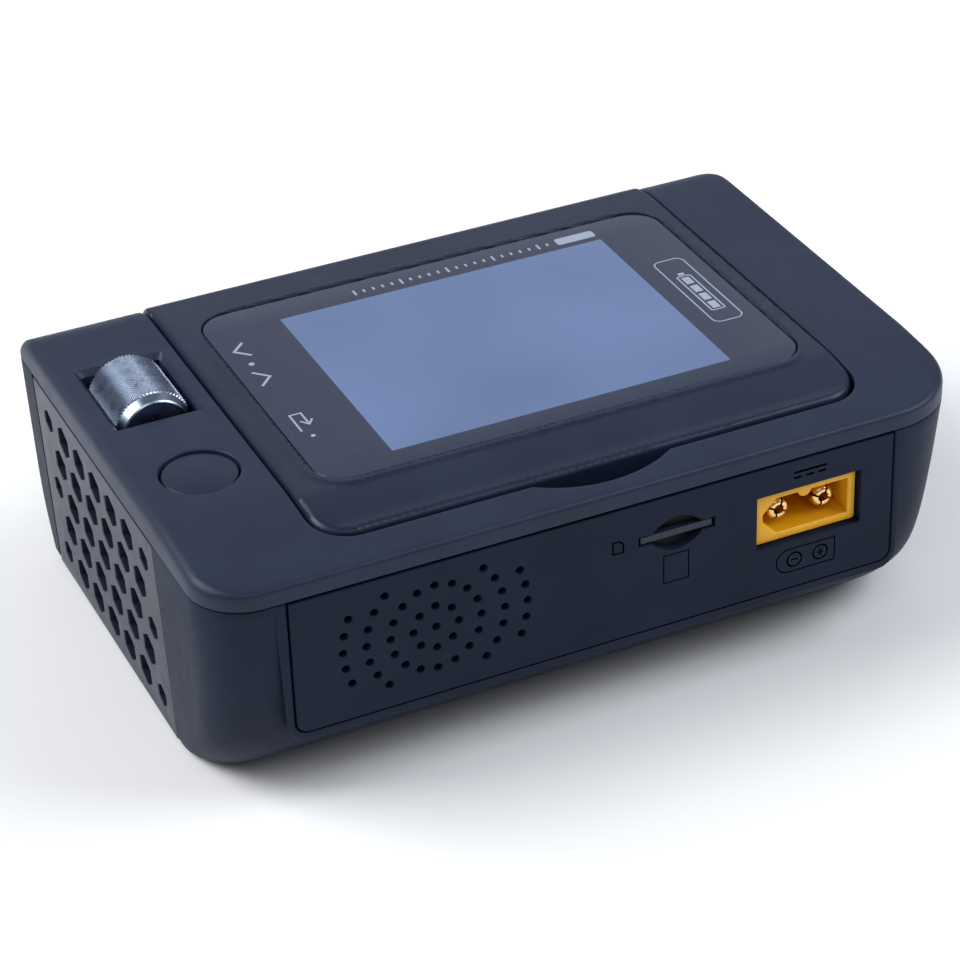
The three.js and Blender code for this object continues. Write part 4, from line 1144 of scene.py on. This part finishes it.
def make_panel_marks():
    """Marks of the DC side for direct current, polarity and card symbols, made to look engraved: their dark
    colour is painted shade of the grooves.
    """
    x = (INPUT_SHELL[0] + INPUT_SHELL[1]) / 2
    z = INPUT_SHELL[4] - 3.4
    left, right = x - 2.2, x + 2.0
    half_ring = [(x - 3.2 + 1.9 * math.cos(a), z + 1.9 * math.sin(a))
                 for a in (math.radians(90 + 180 * k / 10) for k in range(11))]
    marks = [
        (circle(left, z, 1.15, 28), 0.26, True),
        (circle(right, z, 1.15, 28), 0.26, True),
        bar(left - 0.55, left + 0.55, z - 0.12, z + 0.12),
        bar(right - 0.55, right + 0.55, z - 0.12, z + 0.12),
        bar(right - 0.12, right + 0.12, z - 0.55, z + 0.55),
        ([(x + 4.3, z + 1.9)] + half_ring + [(x + 4.3, z - 1.9)], 0.2, True),
        (rounded_rect(CARD_X - 2.1, CARD_X + 1.8, CARD_Z - 7.9, CARD_Z - 3.4, [0, 0, 0, 0], 1), 0.18, True),
        ([(CARD_X - 9.9, CARD_Z - 0.7), (CARD_X - 9.9, CARD_Z + 1.2), (CARD_X - 8.9, CARD_Z + 1.2),
          (CARD_X - 8.3, CARD_Z + 0.6), (CARD_X - 8.3, CARD_Z - 0.7)], 0.24, True),
    ]
    top = INPUT_SHELL[5] + 2.3
    marks.append(bar(x - 2.6, x + 2.6, top + 0.5, top + 0.85))
    for k in (-1, 0, 1):
        marks.append(bar(x + k * 1.95 - 0.65, x + k * 1.95 + 0.65, top - 0.35, top))
    obj = ink("panel_marks", marks, -HALF_Y, -HALF_Y + 0.15, "y")
    # the dark material is painted shade of the marks' grooves
    return finish_piece(obj, "case", PAINTED_ENGRAVING_SHADE, "panel_plastic")


# ------------------------------------------------------------------ tilting screen
GLASS_R = 5
RIM = 1.0
RIM_STEP = 0.16
SCREEN_R = 5.5


GLASS_GAP = 0.2


def glass_box(grow):
    """The hole for the cover glass, grown by a margin: x0, x1, y0, y1."""
    out = GLASS_GAP + grow
    return GLASS[0] - out, GLASS[1] + out, GLASS[2] - out, GLASS[3] + out


def glass_distance(x, y):
    return rect_distance(x, y, *glass_box(0), GLASS_R)


def bezel_top(x, y):
    """Flat rim round the glass, a step, a face that falls to the near side, and rounded edges."""
    out = glass_distance(x, y)
    z = BEZEL[5] - fillet_drop(out, 0.14)
    reach = max(GLASS[2] - RIM - y, 0) / (GLASS[2] - RIM - BEZEL[2])
    z -= 1.5 * reach ** 1.15 - 0.28 * max(reach - 0.78, 0) / 0.22
    z -= RIM_STEP * min(max(out - RIM, 0) / 0.35, 1)
    past = max(y - GLASS[3] - RIM, 0) / (BARREL_Y - GLASS[3] - RIM)
    z -= (BEZEL[5] - RIM_STEP - BARREL_Z - BARREL_R + 0.02) * past * past
    edge = -rect_distance(x, y, BEZEL[0], BEZEL[1], BEZEL[2], 3 * HALF_Y, SCREEN_R)
    side_r = 1.3 if x < DATUM_X else 0.6
    blend = min(max((y - BEZEL[2]) / SCREEN_R, 0), 1)
    return z - fillet_drop(edge, 0.9 + (side_r - 0.9) * blend)


def make_bezel():
    r = SCREEN_R
    outer = rounded_rect(BEZEL[0], BEZEL[1], BEZEL[2], BARREL_Y, [r, r, 0, 0], 16, 1.3)
    hole = rounded_rect(*glass_box(0), GLASS_R, 14, 1.3)
    loose = []
    for depth in [0.9 * (1 - math.cos(math.pi / 12 * k)) for k in range(1, 7)] + [1.1, 1.3, 2.0]:
        loose += offset_loop(outer, depth)
    for out in (0.03, 0.08, 0.14, 0.55, RIM - 0.02, RIM + 0.02, RIM + 0.5, RIM + 1.2):
        loose += rounded_rect(*glass_box(out), GLASS_R + out, 14, 1.0)
    step = (GLASS[2] - BEZEL[2]) / 14
    for i in range(1, 14):
        for j in range(64):
            loose.append((BEZEL[0] + 0.7 + j * 1.3, BEZEL[2] + i * step))
    loose = [
        (x, y) for x, y in loose
        if glass_distance(x, y) > 0.01 and y < BARREL_Y - 0.01
        and rect_distance(x, y, BEZEL[0], BEZEL[1], BEZEL[2], 3 * HALF_Y, r) < -0.004
    ]
    base = BACK_COVER[5] + GAP
    bezel = shell_between("bezel", outer, [hole], loose, bezel_top, lambda x, y: base, 40)
    cap = 0.7
    profile = [(0, BEZEL[0])]
    for k in range(7):
        a = math.pi / 2 * k / 6
        profile.append((BARREL_R - cap + cap * math.sin(a), BEZEL[0] + cap - cap * math.cos(a)))
    profile += [(radius, BEZEL[0] + BEZEL[1] - along) for radius, along in profile[::-1]]
    barrel = lathe("barrel", profile, "x", (0, BARREL_Y, BARREL_Z), 128)
    boolean(bezel, [barrel], "UNION")
    cuts = [block("hollow", BEZEL[0] + 2, BEZEL[1] - 2, BEZEL[2] + 3, 28.9, base - 1, base + 2.5)]
    for from_x, to_x in ((BEZEL[0] - 1, BEZEL[0] + 5.5), (BEZEL[1] - 5.5, BEZEL[1] + 1)):
        cuts.append(rod_cut("hinge_bore", HINGE_BORE, from_x, to_x))
    boolean(bezel, cuts)
    tidy_mesh(bezel, 38)
    bezel.name = "display_bezel"
    return finish_piece(bezel, "screen", SCREEN, "screen_plastic", "screen_bezel")


WINDOW_LCD = (LCD[0] + 2, LCD[1] - 2, LCD[2] + 1.8, LCD[3] - 1.6)


def make_glass():
    """The printed cover glass, and the clear window over the display in its middle."""
    outer = rounded_rect(GLASS[0], GLASS[1], GLASS[2], GLASS[3], GLASS_R - 0.2, 14, 4)
    x0, x1, y0, y1 = WINDOW_LCD
    gap = rounded_rect(x0, x1, y0, y1, 0.25, 4, 4)
    soft = 0.18
    loose = []
    for k in range(1, 5):
        loose += offset_loop(outer, soft * (1 - math.cos(math.pi / 8 * k)))

    def top(x, y):
        edge = -rect_distance(x, y, GLASS[0], GLASS[1], GLASS[2], GLASS[3], GLASS_R - 0.2)
        return GLASS[5] - fillet_drop(edge, soft)

    border = shell_between("cover_glass", outer, [gap], loose, top, lambda x, y: GLASS[4], 30)
    finish_piece(border, "screen", GLASS_PRINT, "display_glass", "screen_glass")
    window = extruded("display_window", gap, GLASS[4], GLASS[5])
    finish_piece(window, "screen", LCD_FACE, "display_glass", "screen_glass")
    return border, window


def make_printing():
    """Generic marks on the glass: battery badge, scale, wheel arrows and a back arrow."""
    top = GLASS[5]
    bx, by = DATUM_X + 36.9, 2.0
    marks = [
        (rounded_rect(bx - 2.4, bx + 2.4, by - 10.1, by + 10.1, 1.2, 6), 0.22, True),
        (rounded_rect(bx - 1.1, bx + 1.1, by - 6.6, by + 4.6, 0.3, 3), 0.24, True),
        bar(bx - 0.5, bx + 0.5, by + 4.9, by + 5.6),
    ]
    for k in range(4):
        marks.append(bar(bx - 0.62, bx + 0.62, by - 6.1 + k * 2.7, by - 4.0 + k * 2.7))
    marks.append(rounded_rect(DATUM_X + 24.8, DATUM_X + 31.2, 24.1, 26.1, 0.45, 5))
    for k in range(22):
        tall = 1.5 if k % 5 == 0 else 0.8
        tick = DATUM_X - 8.8 + k * 1.52
        marks.append(bar(tick, tick + 0.35, 25.1 - tall / 2, 25.1 + tall / 2))
    left = DATUM_X - 30
    chevrons = (((1.0, 19.1), (-1.0, 17.1), (1.0, 15.1)), ((-0.9, 10.4), (1.1, 8.3), (-0.9, 6.2)))
    marks += [([(left + x, y) for x, y in points], 0.42, False) for points in chevrons]
    marks.append(circle(left, 12.7, 0.45, 20))
    shaft = ((-0.6, -7.9), (-0.6, -3.2), (1.1, -3.2), (1.1, -6.2))
    back_arrow = (shaft, ((0.2, -5.3), (1.1, -6.5), (2.0, -5.3)))
    marks += [([(left + x, y) for x, y in points], 0.3, False) for points in back_arrow]
    marks.append(circle(left + 0.4, -9.6, 0.35, 16))
    printing = ink("glass_printing", marks, top, top + 0.015)
    return finish_piece(printing, "screen", WHITE_INK, "display_glass")


# ------------------------------------------------------------------ controls
def make_button():
    """A slightly domed round key with a rounded rim, its flange and stem below."""
    top = BUTTON[5]
    flange = 6.1
    profile = [(0, BUTTON[4]), (1.9, BUTTON[4]), (2.0, BUTTON[4] + 0.15), (2.0, 34.5), (flange - 0.1, 34.5),
               (flange, 34.6), (flange, 35.7), (flange - 0.1, 35.8), (BUTTON_R, 35.8)]
    rim = 0.35
    crown = 0.45
    for k in range(7):
        a = math.pi / 2 * k / 6
        profile.append((BUTTON_R - rim + rim * math.cos(a), top - crown - rim + rim * math.sin(a)))
    for k in range(1, 11):
        t = k / 10
        profile.append(((BUTTON_R - rim) * (1 - t), top - crown * (1 - t) ** 2))
    key = lathe("round_key", profile, "z", (KEY_X, KEY_Y, 0), 96, 30)
    return finish_piece(key, "button", KEYCAP, "screen_plastic", "exit_button")


def make_roller():
    """The knurled metal wheel: a diamond knurl between smooth turned ends.

    Points stand high and low in turn, and each square is split between its low corners, so that every
    high point is the peak of a small pyramid.
    """
    half = (ROLLER[3] - ROLLER[2]) / 2
    radius = (ROLLER[5] - ROLLER[4]) / 2
    teeth, rows, depth = 64, 20, 0.24
    near, far = -half + 1.7, half - 0.8
    columns = teeth * 2
    bore = 1.2
    levels = [(bore, -half, False), (radius - 0.95, -half, False), (radius - 0.75, -half + 0.2, False),
              (radius - 0.3, near - 0.15, False)]
    levels += [(radius, near + (far - near) * k / (2 * rows), True) for k in range(2 * rows + 1)]
    levels += [(radius - 0.3, far + 0.15, False), (radius - 0.75, half - 0.1, False),
               (radius - 0.95, half, False), (bore, half, False)]
    verts = []
    for index, (r, y, knurled) in enumerate(levels):
        for k in range(columns):
            a = 2 * math.pi * k / columns
            drop = depth * ((k + index) % 2) if knurled else 0
            spot = (r - drop) * math.sin(a), y, (r - drop) * math.cos(a)
            verts.append((WHEEL_X + spot[0], WHEEL_Y + spot[1], WHEEL_Z + spot[2]))
    faces = []
    count = len(levels)
    for i in range(count):
        n = (i + 1) % count
        for k in range(columns):
            j = (k + 1) % columns
            a, b, c, d = i * columns + k, i * columns + j, n * columns + j, n * columns + k
            if not (levels[i][2] and levels[n][2]):
                faces.append((a, b, c, d))
            elif (k + i) % 2:
                faces += [(a, b, c), (a, c, d)]
            else:
                faces += [(a, b, d), (b, c, d)]
    roller = object_from("scroll_wheel", verts, faces, 20)
    return finish_piece(roller, "wheel", KNURLED, "steel", "wheel_roller")


# ------------------------------------------------------------------ connectors
def connector_block(box, inset):
    """A two-pole connector's outer outline in x and z."""
    x0, x1, _, _, z0, z1 = box
    return rounded_rect(x0 + inset, x1 - inset, z0 + inset, z1 - inset, 0.4, 3)


def connector_mouth(box, inset):
    """The outline of its mouth, with the two left corners cut."""
    x0, x1, z0, z1 = box[0] + inset, box[1] - inset, box[4] + inset, box[5] - inset
    cut = 2.2
    return [(x0 + cut, z0), (x1, z0), (x1, z1), (x0 + cut, z1), (x0, z1 - cut), (x0, z0 + cut)]


def make_connector(prefix, out):
    """The shell with its mouth at the side that out faces: rounded lip, key rib and two pin bores."""
    box = cad(f"{prefix}_connector_shell")
    x = (box[0] + box[1]) / 2
    z = (box[4] + box[5]) / 2
    pole = 3.6
    mouth, back = (box[3], box[2]) if out > 0 else (box[2], box[3])

    def through(name, outline, insets, depths):
        """A solid through an outline at several insets, each at a depth behind the mouth."""
        steps = [(outline(box, inset), mouth - out * depth) for inset, depth in zip(insets, depths)]
        steps.sort(key=lambda step: step[1])
        return lofted(name, [loop for loop, _ in steps], [y for _, y in steps], "y")

    shell = through("shell", connector_block, (0, 0, 0.06, 0.2), (abs(mouth - back), 0.2, 0.06, 0))
    cavity = through("cavity", connector_mouth, (1.2, 1.2, 1.05, 1.05), (9.0, 0.15, 0, -1))
    low, high = sorted((mouth - out * 0.35, mouth - out * 10))
    rib = extruded("rib", circle(x, box[5] - 1.2, 1.05, 28), low, high, "y")
    boolean(cavity, [rib])
    low, high = sorted((mouth - out * 8, back - out))
    bores = [extruded("bore", circle(x + side * pole, z, 1.95, 28), low, high, "y") for side in (-1, 1)]
    boolean(shell, [cavity, *bores])
    tidy_mesh(shell, 30)
    shell.name = f"{prefix}_port"
    finish_piece(shell, "case", AMBER, "amber_nylon", f"{prefix}_connector_shell")
    for word, side in (("minus", -1), ("plus", 1)):
        make_bullet(prefix, word, x + side * pole, z, out)


def make_bullet(prefix, word, x, z, out):
    """A gold bullet contact, split four ways, with a hollow nose."""
    node = f"{prefix}_pin_{word}"
    box = cad(node)
    tip, tail = (box[3], box[2]) if out > 0 else (box[2], box[3])
    r = (box[1] - box[0]) / 2
    profile = [(0, 0), (r - 0.1, 0), (r, 0.1), (r, 10.9), (r - 0.12, 11.2), (r, 11.5)]
    length = abs(tip - tail)
    profile += [(r, length - 0.7), (r - 0.1, length - 0.35), (r - 0.35, length - 0.08), (r - 0.6, length),
                (0.85, length), (0.75, length - 0.1), (0.75, length - 4.5), (0, length - 4.5)]
    pin = lathe("pin", [(a, tail + out * b) for a, b in profile], "y", (x, 0, z), 48, 30)
    low, high = sorted((tip - out * 4.2, tip + out))
    slits = [block("slit", x - 0.17, x + 0.17, low, high, z - 3, z + 3),
             block("slit", x - 3, x + 3, low, high, z - 0.17, z + 0.17)]
    boolean(pin, slits)
    tidy_mesh(pin, 30)
    pin.data.transform(Matrix.Translation((-x, 0, -z)))
    pin.data.transform(Matrix.Rotation(math.radians(22), 4, "Y"))
    pin.data.transform(Matrix.Translation((x, 0, z)))
    pin.name = f"{prefix}_bullet_{word}"
    return finish_piece(pin, "case", GOLD, "gold", node)


# ------------------------------------------------------------------ small parts
def make_feet_and_screws():
    for i in range(1, 5):
        box = cad(f"rubber_foot_{i}")
        r = (box[1] - box[0]) / 2
        spot = ((box[0] + box[1]) / 2, (box[2] + box[3]) / 2, 0)
        top = box[5]
        sole = [(0, 0.05), (1.6, 0.05), (1.9, 0), (r - 0.35, 0), (r - 0.1, 0.1)]
        profile = sole + [(r, 0.35), (r, top), (0, top)]
        foot = lathe(f"foot_pad_{i}", profile, "z", spot, 56)
        finish_piece(foot, "case", RUBBER, "rubber", f"rubber_foot_{i}")


def soften(node, width, material, segments=2):
    """Rounds a CAD node's edges and gives it its material."""
    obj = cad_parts[node]
    modifier = obj.modifiers.new("soft_edges", "BEVEL")
    modifier.width = width * MM
    modifier.segments = segments
    modifier.limit_method = "ANGLE"
    modifier.angle_limit = math.radians(35)
    obj.data.materials.clear()
    obj.data.materials.append(material)


def dress_cad_nodes():
    """Materials and soft edges for the CAD nodes that stay."""
    looks = [
        (STEEL, 0.08, ["wheel_shaft", "card_socket", "speaker_frame", "usb_shell", "hinge_pin_left",
                       "hinge_pin_right", *[f"case_screw_{i}" for i in range(1, 5)]]),
        (GOLD, 0.05, ["balance_pin_comb"]),
        (WHITE, 0.15, ["balance_header"]),
        (BLACK, 0.1, ["usb_tongue", "wheel_carrier", "wheel_encoder", "wheel_click_switch", "exit_switch",
                      "fan_frame", "fan_rotor"]),
        (CARD_FACE, 0.08, ["memory_card"]),
        (CONE, 0.05, ["speaker_cone"]),
        (BOARD, 0.06, ["main_board", "logic_board", "key_board", "screen_board"]),
        (ALUMINIUM, 0.12, ["heatsink"]),
        (FERRITE, 0.5, ["inductor_1", "inductor_2"]),
        (SLEEVE, 0.4, [f"capacitor_{i}" for i in range(1, 5)]),
        (LCD_FACE, 0.1, ["lcd_panel"]),
        (CASE, 0.25, ["screen_back_cover"]),
        (FILM, 0.02, ["display_ribbon"]),
    ]
    for material, width, nodes in looks:
        for node in nodes:
            soften(node, width, material)


# ------------------------------------------------------------------ studio
def area_light(name, place, target, size, power, colour=(1, 1, 1)):
    data = bpy.data.lights.new(name, "AREA")
    data.shape = "RECTANGLE"
    data.size, data.size_y = size
    data.energy = power
    data.color = colour
    light = bpy.data.objects.new(name, data)
    bpy.context.scene.collection.objects.link(light)
    light.location = place
    light.rotation_euler = (Vector(target) - Vector(place)).to_track_quat("-Z", "Y").to_euler()
    return light


def make_studio():
    material, shader, coordinates = node_material("Floor", (0.9, 0.905, 0.92), 0.7)
    mottle = noise(material, coordinates, 60.0, 2.0)
    shade = ramp(material, mottle.outputs["Fac"], 0.0, 1.0)
    tint(material, shader, shade, (0.89, 0.895, 0.91), (0.91, 0.915, 0.93))
    floor = object_from("floor", [(-6, -6, 0), (6, -6, 0), (6, 6, 0), (-6, 6, 0)], [(0, 1, 2, 3)])
    floor.data.materials.append(material)
    world = bpy.data.worlds.new("Studio")
    bpy.context.scene.world = world
    world.use_nodes = True
    background = world.node_tree.nodes["Background"]
    background.inputs["Color"].default_value = (0.9, 0.94, 1.0, 1)
    background.inputs["Strength"].default_value = 0.22
    area_light("back", (0.35, 1.15, 0.85), (0, 0, 0), (1.8, 1.0), 3, (0.93, 0.96, 1.0))
    area_light("left", (-1.0, 0.45, 1.0), (0, 0, 0.02), (0.9, 0.9), 20.5)
    area_light("right", (1.0, -0.45, 1.0), (0, 0, 0.02), (0.9, 0.9), 14, (0.93, 0.96, 1.0))
    area_light("front", (-0.35, -0.9, 1.2), (0, -0.1, 0), (0.9, 0.5), 3)
    bpy.context.scene.view_settings.view_transform = "Standard"


def make_camera():
    """The photograph's viewing angle: low left of the DC side, slightly rolled."""
    azimuth, elevation, roll = math.radians(-23.8), math.radians(32.4), math.radians(-2.13)
    forward = Vector((-math.sin(azimuth) * math.cos(elevation),
                      math.cos(azimuth) * math.cos(elevation), -math.sin(elevation)))
    right = forward.cross(Vector((0, 0, 1))).normalized()
    up = right.cross(forward)
    right, up = right * math.cos(roll) + up * math.sin(roll), up * math.cos(roll) - right * math.sin(roll)
    data = bpy.data.cameras.new("camera")
    data.lens = 118.9
    data.sensor_width = 36
    data.clip_start = 0.01
    camera = bpy.data.objects.new("camera", data)
    bpy.context.scene.collection.objects.link(camera)
    turn = Matrix((right, up, -forward)).transposed().to_4x4()
    camera.matrix_world = Matrix.Translation(Vector((-160.8, -361.4, 267.9)) * MM) @ turn
    bpy.context.scene.camera = camera


make_camera()
make_studio()
make_tub()
make_lid()
make_tray()
make_notch_painted_shade()
make_input_panel()
make_scoop_painted_shade()
make_output_panel()
make_vent_panel("left_grille", "left_vent_panel", -1)
make_vent_panel("right_grille", "right_vent_panel", 1)
make_panel_marks()
make_bezel()
make_glass()
make_printing()
make_button()
make_roller()
make_connector("input", -1)
make_connector("battery", 1)
make_feet_and_screws()
dress_cad_nodes()
